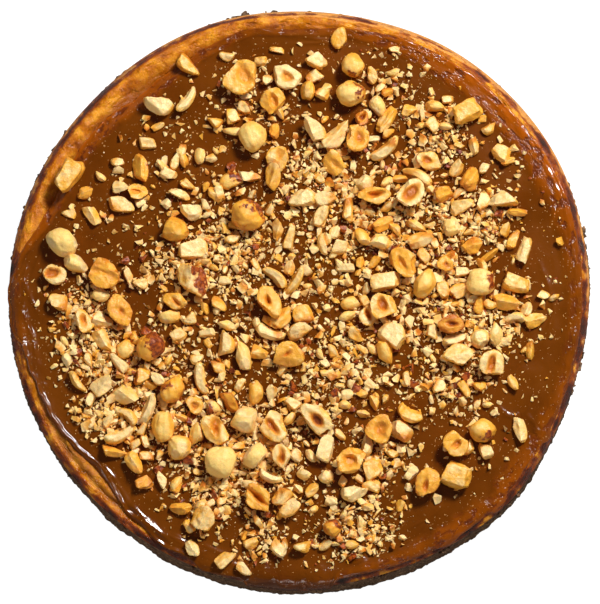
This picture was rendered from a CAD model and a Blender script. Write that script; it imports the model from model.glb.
"""Looks for a round baked cheesecake with poured caramel and chopped roasted hazelnuts.

The cake's measurements are in millimetres from its middle, +X to the right and +Y away from
the viewer, and become metres where a mesh is made. Angles run from +X towards +Y.
"""

import math
import random

import bmesh
import bpy
import numpy as np
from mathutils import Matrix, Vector, noise


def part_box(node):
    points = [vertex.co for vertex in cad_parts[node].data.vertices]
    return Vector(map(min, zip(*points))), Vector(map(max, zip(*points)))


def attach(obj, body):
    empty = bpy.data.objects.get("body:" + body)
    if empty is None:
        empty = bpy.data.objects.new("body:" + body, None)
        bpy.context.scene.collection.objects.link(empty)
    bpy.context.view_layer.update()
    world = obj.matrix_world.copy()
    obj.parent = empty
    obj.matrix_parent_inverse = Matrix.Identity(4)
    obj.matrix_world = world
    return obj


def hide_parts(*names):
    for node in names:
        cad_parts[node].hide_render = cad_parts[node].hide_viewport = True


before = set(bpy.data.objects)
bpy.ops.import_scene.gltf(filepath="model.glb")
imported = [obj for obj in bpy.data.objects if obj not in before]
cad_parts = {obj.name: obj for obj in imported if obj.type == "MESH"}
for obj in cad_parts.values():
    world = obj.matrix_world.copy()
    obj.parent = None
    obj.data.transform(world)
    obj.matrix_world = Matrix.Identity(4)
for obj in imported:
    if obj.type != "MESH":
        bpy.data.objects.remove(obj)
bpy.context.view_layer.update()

MM = 0.001
TURN = 2 * math.pi
GAP = 0.45
BODY = "root"
MEAN_RADIUS = 115.0

# Crust: a base with a crumbly side wall, whose top edge is uneven.
WALL_THICKNESS = 5.0
WALL_MEAN_HEIGHT = 39.5
WALL_HEIGHT_SWING = 3.5
WALL_HIGH_SIDE = math.radians(245)
BASE_CHAMFER = 1.2
BASE_THICKNESS = 6.0
WALL_TOP_ROUNDING = 0.8
# Rings over the wall's rounded top: how far in from the side, and how far below its height.
WALL_TOP_RINGS = ((0.5, 0.25), (1.2, 0.0), (2.6, 0.1), (4.0, 0.3), (WALL_THICKNESS, 0.5))
# The pressed crumbs on the side: their size, and how far they stand out.
CRUMB_LUMP_SIZE = 3.1
CRUMB_LUMP_RELIEF = 0.75

# Filling: a level top inside a raised rim that rolls over into the browned shoulder.
TOP_HEIGHT = 44.0
RIM_HEIGHT = 46.4
RIM_INSET = 4.5
RIM_FOOT = 14.0
SHOULDER_DROP_LIMIT = 38.0
# The rim sinks at the lower left: where the groove lies, and where its colour is deepest.
GROOVE_INSET = 4.4
GROOVE_DEPTH = 1.2
GROOVE_WIDTH = 1.5
SUNKEN_INSET = 5.3
# How far in from the side the painted distance reaches 1.
RIM_PAINT_REACH = 16

# Caramel: poured level, thin where it climbs the rim, its lip clear of the side.
CARAMEL_LEVEL = 47.4
CARAMEL_SETTLED = 0.8
FILM_THICKNESS = 0.45
LIP_CLEARANCE = 0.7
# Rings of its underside, by how far in from the lip they lie, and how deep under the rim's top.
UNDERSIDE_INSETS = (14.0, 2.0, 0.8)
UNDERSIDE_DEPTH = 0.5

# Distance from the middle to the cake's side, every 15 degrees.
SIDE_RADII = (
    114.8, 115.6, 116.8, 116.9, 116.8, 115.8, 115.7, 116.3, 115.7, 115.1, 115.4, 115.9,
    116.0, 115.8, 115.4, 114.9, 115.0, 115.2, 115.4, 114.9, 115.0, 116.0, 114.4, 113.8,
)

# Distance from the middle to the caramel's wavy lip, every 10 degrees.
LIP_RADII = (
    111.8, 112.4, 112.6, 112.4, 112.2, 112, 111.6, 111, 109, 107.6, 109.3, 107,
    104.6, 103.7, 106, 105.8, 105.8, 111.5, 115, 112.5, 110.5, 110, 106, 109.5,
    112.5, 113.6, 114.6, 115, 113, 113, 113.6, 113.6, 112.6, 112, 111.6, 111.4,
)

# How the caramel ends at its lip, every 30 degrees: the lip's thickness, and the width of the
# thin amber film behind it.
LIP_THICKNESS = (0.5, 0.45, 0.5, 1.2, 0.6, 0.7, 1.3, 1.9, 2.1, 1.4, 0.7, 0.55)
FILM_WIDTH = (7.0, 9.0, 8.0, 2.5, 5.5, 5.0, 1.6, 1.2, 1.2, 2.5, 7.0, 7.5)

# How amber the caramel glows where it lies thin, every 30 degrees.
AMBER = (0.5, 0.85, 0.9, 0.5, 0.75, 0.9, 0.6, 0.3, 0.25, 0.4, 0.7, 0.6)

# Where the caramel runs over the side: angle and half width in degrees, and length.
DRIPS = (
    (172.0, 3.2, 1.0), (179.0, 3.0, 1.6), (186.0, 3.2, 2.4),
    (252.0, 3.4, 2.0), (262.0, 2.6, 8.0), (267.5, 2.4, 12.0), (273.5, 2.6, 9.0),
    (301.0, 2.0, 1.4), (313.2, 2.2, 3.6), (330.2, 1.2, 2.6),
)

# How the filling's rim is baked, every 30 degrees: width of the pale tan edge, strength of the
# scorched band, and how far in from the side that band lies.
TAN_WIDTH = (0.9, 1.8, 2.6, 2.6, 1.0, 0.6, 0.0, 0.0, 0.0, 0.0, 0.0, 0.0)
SCORCH_STRENGTH = (1.0, 0.8, 0.55, 0.6, 0.95, 1.0, 0.85, 0.9, 0.95, 1.1, 1.1, 1.1)
SCORCH_INSET = (2.6, 2.6, 2.8, 2.0, 1.6, 1.6, 1.2, 1.0, 1.2, 1.4, 1.6, 1.8)
SCORCH_WIDTH = (2.4, 1.8, 1.4, 1.1, 1.6, 1.8, 1.6, 1.4, 1.6, 2.0, 2.4, 2.6)

# Folds left in the caramel: points along each, its height and its width.
FOLDS = (
    (((-7, 105.2), (1, 104.8), (9, 103.4), (17, 101.6)), 0.62, 1.25),
    (((-102, 30), (-101, 24), (-105, 14), (-108.5, 3)), 0.5, 0.9),
    (((-109, 2), (-110.5, -6), (-106.5, -16), (-104.5, -27)), 0.5, 0.8),
    (((-108, 14), (-110.4, 7), (-107.6, -1), (-104, -8)), 0.4, 0.8),
    (((-3, 101), (2, 101.6), (9, 101.8), (16, 101)), 0.47, 0.86),
    (((95, 13), (98.5, 4), (100.6, -5), (98, -14), (92, -22), (84, -28)), 0.52, 0.92),
    (((78.4, -44.4), (82, -47.5), (86, -48), (89.6, -45), (91.8, -40.8)), 0.66, 0.79),
    (((89.6, -46.8), (93, -51), (95.2, -57)), 0.43, 0.86),
    (((2, -84.8), (8, -86), (16, -87.6)), 0.57, 0.86),
    (((34.4, -100), (40, -101.6), (47, -97), (52, -88.8), (56, -82.8)), 0.43, 0.92),
    (((-98.8, 43.2), (-97.5, 38), (-95.2, 33.2)), 0.47, 0.79),
    (((-72, -78.8), (-70.5, -83.5), (-67, -86), (-63, -88)), -0.76, 0.99),
    (((-66, -79), (-66.5, -84), (-61, -90.5), (-53, -96)), 0.57, 0.86),
    (((44, -92), (50, -89), (55, -84)), 0.33, 0.79),
    (((-91, -36), (-88, -46), (-83, -56), (-77, -66)), 0.14, 0.9),
    (((-40, -99), (-30, -103), (-18, -106)), 0.38, 0.92),
)

# What a knife takes off a kernel of radius 1, as (direction, distance) of each cut.
CUTS = {
    "whole": (),
    "dome": (((0, 0, -1), 0.3),),
    "half": (((0, 0, 1), 0.1),),
    "segment": (((0, 1, 0.2), 0.12), ((0.1, 0.1, 1), 0.5), ((0, 0, -1), 0.6)),
    "wedge": (((0, 0.64, 0.77), 0.15), ((0, -0.6, 0.8), 0.28), ((-1, 0, 0.15), 0.66)),
    "block": (
        ((0.1, 0, 1), 0.55),
        ((0, 1, 0.1), 0.56),
        ((0, -1, 0.2), 0.6),
        ((1, 0, 0.25), 0.68),
        ((-1, 0.2, 0), 0.7),
    ),
    "slab": (((0.12, 0, 1), 0.34), ((0, 0, -1), 0.4), ((0.3, -1, 0.1), 0.62)),
    "crescent": (((0.1, 0.3, 1), 0.5), ((0, 0, -1), 0.7)),
}
# Further breaks at random: how many at least and at most, and how far out they lie.
BREAKS = {
    "whole": (3, 5, 0.76, 0.92),
    "dome": (1, 4, 0.56, 0.88),
    "half": (1, 3, 0.56, 0.88),
    "segment": (1, 3, 0.5, 0.8),
    "wedge": (1, 3, 0.5, 0.8),
    "block": (0, 2, 0.55, 0.8),
    "slab": (1, 3, 0.45, 0.8),
    "crescent": (0, 1, 0.75, 0.9),
}
# Round bites out of a kernel's side: middle and radius of each.
BITES = {"crescent": (((0.05, 0.8, 0.15), 0.82),)}
# How round the edges between cuts are, for a kernel of radius 1.
EDGE_ROUNDING = {"whole": 0.05, "dome": 0.015}
SHARP_EDGE = 0.007
# Nicks all over: how many, and how far out they lie.
NICKS = (4, 8)
NICK_DISTANCES = (0.82, 0.96)
BROKEN_HALF_CHANCE = 0.25
BROKEN_HALF_BITE = ((0.3, 1.0, 0.1), 0.55)
KERNEL_TAPER = 0.2
# A distance further out than any cut.
NEVER = 9.0

# The large hazelnuts: length, width and turn in degrees, how toasted, then, where it isn't 0,
# how dark the hollow, how much skin is left, and the side that the skin is on in degrees.
HAZELNUTS = {
    "hazelnut_half_01": (14.4, 13.6, -90, 0.4, 0.35),
    "hazelnut_half_02": (11.4, 10.4, 0, -0.1, 0.3),
    "hazelnut_half_03": (12.4, 11.6, -90, 0.45, 0.3),
    "hazelnut_half_04": (13.6, 11.6, -45, 0.6, 0.2, 0.15, 220),
    "hazelnut_half_05": (13.6, 9.4, 105, 0.62, 0.6, 0.2, 280),
    "hazelnut_half_06": (14.4, 10.6, -60, 0.2, 0.65, 0.15, 80),
    "hazelnut_half_07": (13.6, 9.4, 200, 0.5, 0.9),
    "hazelnut_half_08": (13.4, 9.4, -80, 0.46, 0.7),
    "hazelnut_half_09": (11.2, 9.4, 90, 0.55, 0.55, 0.15, 90),
    "hazelnut_half_10": (12.2, 11.2, 60, -0.1, 0.75, 0.1, 200),
    "hazelnut_half_11": (13.6, 6.8, 8, 0.46, 0.5),
    "hazelnut_half_12": (13.4, 9.8, -70, 0.56, 0.35),
    "hazelnut_half_13": (10.0, 9.8, 80, 0.0, 0.7),
    "hazelnut_half_14": (11.0, 10.4, -60, 0.28, 0.75),
    "hazelnut_half_15": (15.0, 9.8, -45, 0.0, 0.95),
    "hazelnut_half_16": (12.4, 10.4, -70, 0.58, 0.5),
    "hazelnut_half_17": (12.0, 10.8, 0, 0.42, 0.4),
    "hazelnut_half_18": (10.6, 10.0, -100, 0.4, 0.5),
    "hazelnut_half_19": (11.8, 9.4, 75, 0.55, 0.8),
    "hazelnut_half_20": (13.0, 9.0, -60, 0.6, 0.6, 0.4, 225),
    "hazelnut_half_21": (11.2, 8.6, 100, 0.08, 0.8),
    "hazelnut_half_22": (13.2, 10.8, 110, 0.25, 0.75),
    "hazelnut_whole_01": (12.8, 11.0, 100, -0.05, 0.0, 0.15),
    "hazelnut_whole_02": (13.6, 12.8, 0, 0.35, 0.0, 0.44, 50),
    "hazelnut_whole_03": (12.0, 11.2, 80, 0.4, 0.0, 0.7, 20),
    "hazelnut_whole_04": (11.0, 9.4, 80, 0.3, 0.0, 0.4, 150),
    "hazelnut_whole_05": (12.6, 9.0, 80, 0.05),
    "hazelnut_whole_06": (10.2, 9.2, 90, 0.1, 0.0, 0.25, 270),
    "hazelnut_whole_07": (12.0, 10.8, 0, 0.05, 0.0, 0.4, 30),
    "hazelnut_whole_08": (12.8, 8.4, 65, 0.1),
    "hazelnut_whole_09": (11.6, 10.4, -10, -0.2, 0.0, 0.3),
    "hazelnut_whole_10": (10.8, 9.4, 0, 0.2, 0.0, 0.4, -45),
    "hazelnut_whole_11": (13.4, 12.0, 20, -0.3),
    "hazelnut_whole_12": (7.6, 7.2, 0, 0.4, 0.0, 0.5, 60),
    "hazelnut_dome_01": (11.4, 9.8, -20, 0.32),
    "hazelnut_dome_02": (13.6, 11.0, -25, -0.35),
    "hazelnut_dome_03": (10.8, 9.6, -60, 0.0, 0.0, 0.15, 225),
    "hazelnut_dome_04": (11.4, 10.8, 20, -0.15),
    "hazelnut_dome_05": (11.6, 9.0, 60, -0.45),
    "hazelnut_segment_01": (12.4, 7.6, 0, -0.08),
    "hazelnut_segment_02": (12.4, 9.0, 0, -0.3, 0.0, 0.2, 90),
    "hazelnut_segment_03": (10.0, 8.8, 135, 0.0),
    "hazelnut_segment_04": (11.0, 6.4, 0, -0.15, 0.0, 0.1, 90),
    "hazelnut_segment_05": (13.0, 6.4, 180, 0.05),
    "hazelnut_wedge_01": (13.6, 12.0, -90, 0.1, 0.0, 0.55, 20),
    "hazelnut_wedge_02": (13.4, 7.0, 52, 0.0, 0.0, 0.1),
    "hazelnut_wedge_03": (10.2, 9.4, 60, 0.1, 0.0, 0.2, 90),
    "hazelnut_block_01": (14.2, 8.4, 59, 0.34),
    "hazelnut_block_02": (12.8, 8.0, 25, 0.34),
    "hazelnut_block_03": (13.4, 7.4, 12, 0.12),
    "hazelnut_block_04": (10.8, 8.0, -10, 0.28),
    "hazelnut_block_05": (12.0, 10.6, -20, 0.25, 0.0, 0.1, 270),
    "hazelnut_slab_01": (13.4, 9.8, -10, 0.08),
    "hazelnut_slab_02": (13.6, 8.4, -20, 0.1, 0.0, 0.1),
    "hazelnut_crescent_01": (13.8, 6.0, -20, -0.4),
}

# Chopped pieces, half sunk in the caramel: kind, x, y, length, width, height and turn, and
# the look where it isn't plain.
CHOPPED_PIECES = (
    ("segment", -45.2, 92.0, 11.6, 6.0, 5.0, -49),
    ("crescent", -45.2, 78.4, 12.4, 4.8, 4.5, 57),
    ("half", -9.2, 55.2, 9.6, 9.0, 6.0, 60),
    ("wedge", -63.6, 51.2, 11.6, 7.0, 6.0, 85, "skin"),
    ("half", -64.8, 41.6, 8.4, 6.6, 5.0, -5),
    ("slab", -71.2, 36.4, 11.2, 6.4, 4.5, -15),
    ("wedge", -82.8, 32.4, 9.2, 5.2, 4.5, -58),
    ("dome", -89.2, 12.8, 10.4, 7.0, 7.0, -30),
    ("half", -97.6, 8.4, 9.6, 8.4, 6.0, 0),
    ("slab", -68.4, 8.4, 8.0, 3.6, 3.5, -80),
    ("block", -96.0, -2.4, 8.4, 6.6, 5.0, -15),
    ("half", -50.0, -2.0, 10.4, 7.0, 6.0, -30),
    ("dome", -52.0, -8.4, 9.0, 5.6, 5.0, 15),
    ("dome", -69.2, -21.2, 8.0, 8.0, 6.0, 0),
    ("block", -72.4, -26.4, 10.0, 4.6, 5.0, -45),
    ("wedge", -78.4, -18.0, 10.4, 6.0, 5.0, -60, "spotted"),
    ("half", -85.6, -10.4, 9.6, 8.0, 5.0, 80),
    ("wedge", -78.4, -10.0, 8.4, 6.0, 5.0, -10),
    ("slab", -62.4, -31.6, 8.8, 6.0, 5.0, 20),
    ("crescent", -39.6, -33.2, 13.0, 5.0, 4.5, -75),
    ("wedge", -78.8, -35.6, 10.0, 7.6, 6.0, 50),
    ("crescent", -88.4, -34.4, 10.0, 4.0, 5.0, -52),
    ("wedge", -69.2, -39.6, 10.4, 8.0, 6.0, -35),
    ("crescent", -60.4, -45.6, 13.0, 4.8, 6.0, 68),
    ("crescent", -71.6, -55.6, 13.0, 5.6, 6.0, 25),
    ("crescent", -68.4, -47.6, 9.6, 5.0, 5.0, 145),
    ("wedge", -73.6, -62.0, 10.4, 4.8, 5.0, -8, "golden"),
    ("wedge", -65.6, -66.4, 10.4, 6.4, 6.0, -55),
    ("dome", -41.2, -55.2, 9.6, 6.0, 6.0, 75),
    ("half", -42.4, -43.6, 8.0, 7.0, 5.0, -20),
    ("dome", -34.8, -44.4, 7.6, 5.8, 5.0, -70, "skin"),
    ("block", -28.0, -42.4, 10.0, 5.2, 5.0, -65, "golden"),
    ("dome", -18.0, -38.4, 9.8, 7.0, 6.0, 70),
    ("dome", -22.8, -24.0, 12.0, 6.4, 6.0, 110),
    ("segment", -29.6, -18.8, 10.6, 7.4, 6.0, 90),
    ("slab", -32.4, -28.4, 8.4, 5.0, 4.0, -40),
    ("block", 0.8, -7.2, 8.4, 8.0, 6.0, 10, "pale"),
    ("slab", -0.4, -14.0, 10.4, 6.4, 5.0, 20),
    ("crescent", -12.0, -14.8, 12.0, 5.6, 5.0, -20),
    ("wedge", -7.2, -8.4, 9.6, 7.0, 5.0, 45),
    ("crescent", -10.0, 7.6, 12.0, 4.8, 5.0, 138),
    ("crescent", -2.4, 5.6, 12.6, 4.8, 5.0, 58),
    ("wedge", -9.2, 26.4, 9.0, 4.8, 4.5, 80),
    ("block", -4.4, 23.6, 10.4, 4.6, 4.5, 75),
    ("dome", -27.6, 46.0, 9.6, 7.2, 4.5, 0),
    ("slab", -20.4, 47.6, 9.0, 4.0, 4.0, 0),
    ("wedge", -11.2, 47.6, 10.4, 7.0, 6.0, 70, "skin"),
    ("slab", -48.0, 40.8, 9.0, 3.6, 4.0, -30),
    ("segment", 0.4, 39.2, 11.0, 7.0, 6.0, 180),
    ("slab", 9.6, 38.8, 9.0, 6.0, 5.0, 5),
    ("segment", 5.6, 66.8, 10.6, 7.4, 6.0, 110),
    ("half", 24.4, 70.8, 6.4, 6.0, 7.0, 60, "toasted"),
    ("dome", 30.4, 76.0, 8.4, 6.8, 6.0, 90),
    ("wedge", 34.0, 70.4, 12.0, 5.8, 5.0, 52),
    ("crescent", 33.6, 58.4, 13.4, 5.2, 6.0, 40),
    ("half", 13.2, 52.8, 10.0, 8.4, 6.0, -40),
    ("slab", 15.2, 103.2, 9.0, 6.6, 4.5, 90),
    ("block", 6.4, 94.0, 8.0, 6.8, 4.5, -40),
    ("dome", 2.8, 82.4, 8.0, 6.2, 6.0, 70, "pale"),
    ("dome", 53.6, 75.6, 9.0, 5.0, 5.0, -15),
    ("block", 79.6, 57.2, 8.0, 6.6, 5.0, -30),
    ("wedge", 67.6, 46.4, 9.2, 8.2, 6.0, 45, "golden"),
    ("half", 50.8, 54.0, 10.6, 7.6, 5.0, -10),
    ("crescent", 46.4, 48.0, 13.0, 5.4, 6.0, 155),
    ("block", 64.0, 36.0, 10.2, 6.2, 5.0, 20),
    ("wedge", 86.0, 33.6, 8.0, 4.0, 4.5, -15),
    ("dome", 31.6, 21.6, 9.0, 6.6, 6.0, 5),
    ("wedge", 47.6, 22.4, 10.6, 6.4, 5.0, 20),
    ("dome", 24.4, 23.6, 8.4, 5.4, 5.0, -50),
    ("slab", 8.0, 32.4, 10.0, 5.4, 4.5, 70),
    ("block", 18.8, 34.4, 10.6, 4.6, 5.0, 85),
    ("wedge", 68.4, 20.0, 8.4, 6.8, 5.0, 30, "spotted"),
    ("wedge", 63.2, 2.4, 8.6, 6.0, 5.0, 30),
    ("wedge", 81.6, -2.4, 10.8, 7.0, 6.0, -5, "spotted"),
    ("slab", 88.8, 18.4, 10.6, 5.4, 4.5, 65),
    ("slab", 84.4, 22.4, 8.8, 4.4, 4.0, 60),
    ("half", 59.6, -11.6, 11.0, 7.6, 7.0, 0, "toasted"),
    ("slab", 60.8, -17.2, 9.8, 5.4, 5.0, 0),
    ("dome", 70.8, -16.8, 8.0, 7.4, 6.0, 45),
    ("dome", 77.2, -15.6, 9.6, 6.0, 5.0, 80),
    ("wedge", 93.2, -9.6, 9.0, 6.0, 4.5, 15),
    ("crescent", 84.8, -8.8, 8.4, 4.6, 5.0, 190),
    ("half", 26.8, -8.0, 8.4, 7.8, 5.0, 90),
    ("dome", 33.6, -22.4, 10.4, 6.8, 6.0, -60, "golden"),
    ("block", 10.0, -60.8, 11.0, 6.4, 6.0, 72),
    ("block", 40.0, -53.6, 10.0, 7.6, 7.0, -45),
    ("crescent", 43.2, -47.2, 11.0, 7.0, 6.0, -25),
    ("crescent", 26.0, -60.0, 9.4, 5.2, 7.0, 80),
    ("block", 28.4, -68.8, 9.0, 8.0, 5.0, 30),
    ("wedge", 86.8, -53.2, 10.8, 5.4, 4.5, -80),
    ("wedge", -7.2, -80.0, 9.0, 6.8, 6.0, 55),
    ("slab", -4.4, -84.8, 9.4, 6.0, 5.0, 40),
    ("wedge", -47.6, -84.4, 9.0, 5.2, 5.0, -12),
    ("wedge", -29.6, -104.4, 9.2, 5.6, 4.5, 35),
)

# Smaller pieces that lie on the caramel, in the same terms.
SMALL_PIECES = (
    ("wedge", -85.6, 41.2, 6.6, 5.2, 4.5, 10, "skin"),
    ("slab", -91.6, 33.2, 5.6, 5.0, 2.5, -45),
    ("slab", -63.2, 5.2, 6.0, 5.2, 4.0, -45),
    ("dome", -79.2, 0.4, 7.0, 6.0, 5.0, 10),
    ("segment", -43.6, -9.6, 6.0, 4.6, 4.0, 45),
    ("block", -48.4, -15.6, 6.4, 5.4, 4.0, 30),
    ("slab", -56.8, -32.8, 7.6, 4.4, 5.0, -60),
    ("dome", -29.2, -11.6, 8.4, 4.0, 4.0, -20),
    ("wedge", -16.4, -22.4, 7.4, 6.0, 4.5, -10),
    ("wedge", -34.0, 40.8, 7.6, 5.0, 4.0, -30),
    ("slab", -44.8, 44.8, 7.0, 4.0, 3.5, -20),
    ("block", 5.2, 88.0, 7.0, 5.2, 4.0, 30),
    ("segment", 8.4, 80.8, 6.4, 5.2, 4.5, 0),
    ("block", 58.4, 78.8, 4.8, 3.6, 3.5, 0),
    ("slab", 52.4, 68.4, 6.4, 5.4, 5.0, -60),
    ("dome", 57.6, 68.0, 6.4, 3.6, 3.5, -15),
    ("wedge", 68.8, 60.0, 7.6, 4.0, 4.5, -80),
    ("wedge", 82.4, 54.0, 6.0, 3.4, 4.0, 35),
    ("slab", 72.8, 51.2, 5.6, 3.6, 4.0, 45),
    ("wedge", 62.0, 50.8, 7.6, 5.0, 5.0, 60),
    ("segment", 75.2, 66.8, 6.8, 4.0, 3.5, 25),
    ("block", 56.8, 40.8, 7.6, 6.6, 5.5, 20, "golden"),
    ("slab", 72.0, 38.0, 7.2, 6.4, 4.0, 40),
    ("dome", 25.6, 44.8, 7.0, 6.6, 5.0, 45),
    ("wedge", 32.8, 28.8, 8.8, 5.4, 4.0, 25, "skin"),
    ("wedge", 46.0, 28.0, 8.0, 4.0, 4.5, -40),
    ("slab", 48.8, 16.4, 7.0, 5.4, 4.0, -80),
    ("block", 15.6, 19.2, 7.6, 6.2, 4.5, 0),
    ("segment", 8.4, 20.4, 8.6, 3.8, 4.0, -75),
    ("block", 17.6, 11.2, 7.8, 3.4, 3.0, 0),
    ("slab", 37.6, 26.8, 6.6, 3.8, 4.0, -60),
    ("dome", 60.0, 27.2, 7.8, 7.0, 6.0, -10),
    ("wedge", 75.2, 16.4, 8.0, 3.0, 4.0, 40, "skin"),
    ("half", 57.2, 12.8, 6.8, 6.4, 5.0, 0, "toasted"),
    ("slab", 56.4, 2.4, 7.0, 5.6, 5.0, 80),
    ("block", 52.0, -14.0, 7.0, 4.6, 4.0, 90),
    ("segment", 70.8, -3.6, 7.6, 5.6, 5.0, -80, "golden"),
    ("dome", 19.6, -2.8, 8.0, 5.4, 5.0, 10),
    ("slab", 21.6, -15.6, 7.4, 5.0, 5.0, -40),
    ("dome", 18.4, -8.0, 7.0, 4.0, 4.0, 30),
    ("dome", 10.0, -72.0, 6.0, 5.6, 5.0, 0),
    ("wedge", 4.4, -77.2, 7.0, 4.6, 4.0, 40),
    ("slab", 28.0, -76.0, 7.4, 5.0, 4.0, -35),
    ("block", 12.0, -81.6, 5.4, 4.4, 4.0, 0),
    ("segment", 66.4, -60.8, 7.2, 4.0, 5.0, 60),
    ("block", 73.2, -61.6, 7.0, 5.4, 5.0, -75),
    ("slab", -2.0, -63.6, 6.0, 5.0, 4.0, -70),
    ("dome", -40.0, -83.2, 6.2, 3.8, 4.0, 50),
    ("wedge", -44.0, -91.6, 6.0, 5.2, 4.0, -30),
    ("wedge", -42.8, -100.4, 7.4, 5.2, 4.0, -60),
    ("slab", -22.4, -108.4, 7.4, 4.4, 3.5, -30),
    ("block", -8.8, -100.4, 7.6, 5.4, 4.0, -40),
    ("segment", 1.2, -100.0, 8.0, 4.6, 4.5, 15),
    ("block", -62.0, -74.4, 7.0, 5.6, 4.0, 20, "toasted"),
    ("slab", -54.8, -73.2, 7.6, 3.8, 3.5, -80),
    ("dome", -49.2, -74.4, 7.0, 3.8, 3.5, 50),
    ("wedge", 90.8, -21.6, 7.6, 3.6, 3.5, 85),
    ("wedge", 84.0, -34.4, 7.0, 4.0, 3.5, -65),
    ("slab", 43.6, -70.4, 6.4, 5.4, 3.5, 20),
    ("slab", 54.8, -36.0, 5.4, 5.2, 3.0, 0),
    ("segment", 70.8, -36.0, 6.0, 4.4, 4.0, 0, "golden"),
    ("block", 64.8, -36.8, 7.6, 3.6, 4.0, -60),
    ("slab", 69.6, -43.2, 5.0, 2.8, 3.0, 55, "skin"),
    ("dome", 74.0, -43.2, 4.8, 2.8, 3.0, 0),
    ("wedge", 18.4, -39.2, 5.0, 4.6, 3.5, 0),
    ("wedge", 29.2, -42.4, 6.4, 3.8, 4.0, -60),
    ("slab", 42.0, -33.2, 6.4, 3.6, 4.0, -70, "skin"),
    ("block", -3.2, -42.8, 7.2, 4.4, 4.0, -35),
    ("segment", -41.2, -25.2, 5.6, 4.8, 4.0, 0),
    ("block", -37.2, -14.8, 6.6, 3.6, 3.5, 10),
    ("slab", -32.4, -3.2, 7.6, 4.6, 4.5, -40, "golden"),
    ("dome", -40.0, 56.0, 6.6, 4.6, 4.5, -80),
    ("wedge", -35.6, 55.2, 5.0, 4.0, 4.0, 0, "skin"),
    ("wedge", -46.8, 55.2, 8.4, 3.8, 3.5, -75),
    ("slab", -50.0, 53.6, 7.0, 3.6, 3.5, 75),
    ("block", -52.4, 48.8, 6.6, 5.6, 4.0, -30),
    ("segment", -34.4, 69.2, 7.0, 4.4, 4.5, -10, "golden"),
    ("block", -27.2, 72.0, 6.4, 5.6, 4.5, -75),
    ("slab", -22.4, 75.2, 6.0, 4.6, 4.5, -30, "skin"),
    ("dome", -27.6, 66.0, 7.4, 3.6, 4.0, -10),
    ("wedge", -10.4, 66.0, 6.4, 4.6, 4.0, 70),
    ("wedge", -8.0, 73.2, 6.0, 3.0, 3.5, -60),
    ("slab", -13.2, 86.4, 4.6, 4.4, 4.5, 0),
    ("block", -16.0, 94.0, 5.2, 4.0, 3.5, 0),
    ("segment", -29.6, 96.0, 6.2, 3.8, 3.0, -10),
    ("block", -9.6, 98.8, 6.4, 2.6, 2.5, -10),
    ("slab", 28.4, 88.4, 7.4, 4.4, 4.5, -75),
    ("dome", 36.4, 89.6, 6.0, 3.6, 4.0, 0),
    ("wedge", 34.4, 81.6, 5.0, 3.6, 4.0, 15),
    ("wedge", 43.2, 74.4, 6.4, 5.0, 4.0, 0),
    ("slab", 37.2, 99.2, 4.6, 3.0, 2.6, -20),
    ("block", 48.4, 72.4, 6.0, 2.2, 3.0, -80),
    ("segment", 34.8, 64.8, 5.0, 4.0, 4.5, 0),
    ("block", -60.8, 61.2, 7.0, 5.0, 3.5, 0),
    ("slab", -72.8, 53.6, 5.6, 3.6, 3.5, 0),
    ("dome", -79.6, 48.0, 5.4, 3.2, 3.0, -55),
    ("wedge", -56.8, 68.0, 5.6, 3.0, 3.0, 30),
    ("wedge", -71.6, 43.6, 6.4, 5.4, 4.0, 0),
)

# Where the small bits lie thickest: x, y, reach and share.
DRIFTS = (
    (20.0, 30.0, 42.0, 26),
    (45.0, 30.0, 30.0, 16),
    (-30.0, 24.0, 20.0, 10),
    (-80.0, -22.0, 18.0, 14),
    (-56.0, -46.0, 22.0, 20),
    (-18.0, -62.0, 24.0, 24),
    (25.0, -40.0, 26.0, 10),
    (26.0, -88.0, 18.0, 8),
    (-16.0, -98.0, 14.0, 6),
    (72.0, -2.0, 24.0, 14),
    (0.0, 0.0, 92.0, 40),
)
BIT_COUNT = 170
BIT_KINDS = ("wedge", "block", "slab", "dome")
LARGEST_BIT = 6.4
SMALLEST_BIT = 3.0
BIT_MARGIN = 9.0
BIT_SPACING = 0.36

# What each look of a chopped piece means: how toasted it is, and how much skin is left.
LOOKS = {
    "plain": (0.1, 0.0),
    "pale": (0.0, 0.0),
    "golden": (0.45, 0.0),
    "toasted": (0.5, 0.15),
    "spotted": (0.2, 0.4),
    "skin": (0.3, 0.7),
}
SKINNED_CHANCE = 0.1
BROWNED_CHANCE = 0.4
FOOT_TOASTING = 0.25
SIDE_TOASTING = 0.34
KIND_TOASTING = {"half": 0.2, "wedge": 0.08, "dome": -0.08, "crescent": -0.08}

# Where the finest crumbs drift together: x, y, reach and share.
CRUMB_DRIFTS = (
    (-28, 20, 16, 9), (-84, -5, 12, 5), (-82, -22, 15, 10), (8, -35, 17, 5), (24, -23, 14, 3),
    (56, 64, 12, 6), (70, 31, 14, 8), (44, 30, 20, 9), (20, 28, 22, 5), (-16, -97, 10, 3),
    (22, -92, 17, 8), (-52, -48, 22, 14), (62, -34, 14, 6), (76, -10, 14, 6), (-18, -64, 22, 12),
    (-34, -80, 14, 6), (-62, -30, 16, 6), (8, 46, 14, 6), (-48, 14, 12, 5),
    (56, 0, 16, 8), (32, -64, 12, 5), (-80, -48, 10, 5), (-16, -64, 12, 5),
    (-18, 78, 16, 3), (34, 80, 16, 3), (0, 0, 90, 62), (8, 8, 62, 22),
)
CHIP_COUNT = 2200
CHIP_SIZES = (5.2, 1.3)
CHIP_MARGIN = 7.0
CRUMB_COUNT = 12500
CRUMB_SIZES = (0.35, 2.0)
CRUMB_MARGIN = 5.0
FLAKE_COUNT = 90
FLAKE_SIZES = (0.9, 3.4)
FLAKE_MARGIN = 8.0
FLAKE_THICKNESS = 0.12
SKIN_SPECK_CHANCE = 0.05
# How far a large hazelnut's foot lies in the caramel, below its node's.
NUT_SINK = 0.5

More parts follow.
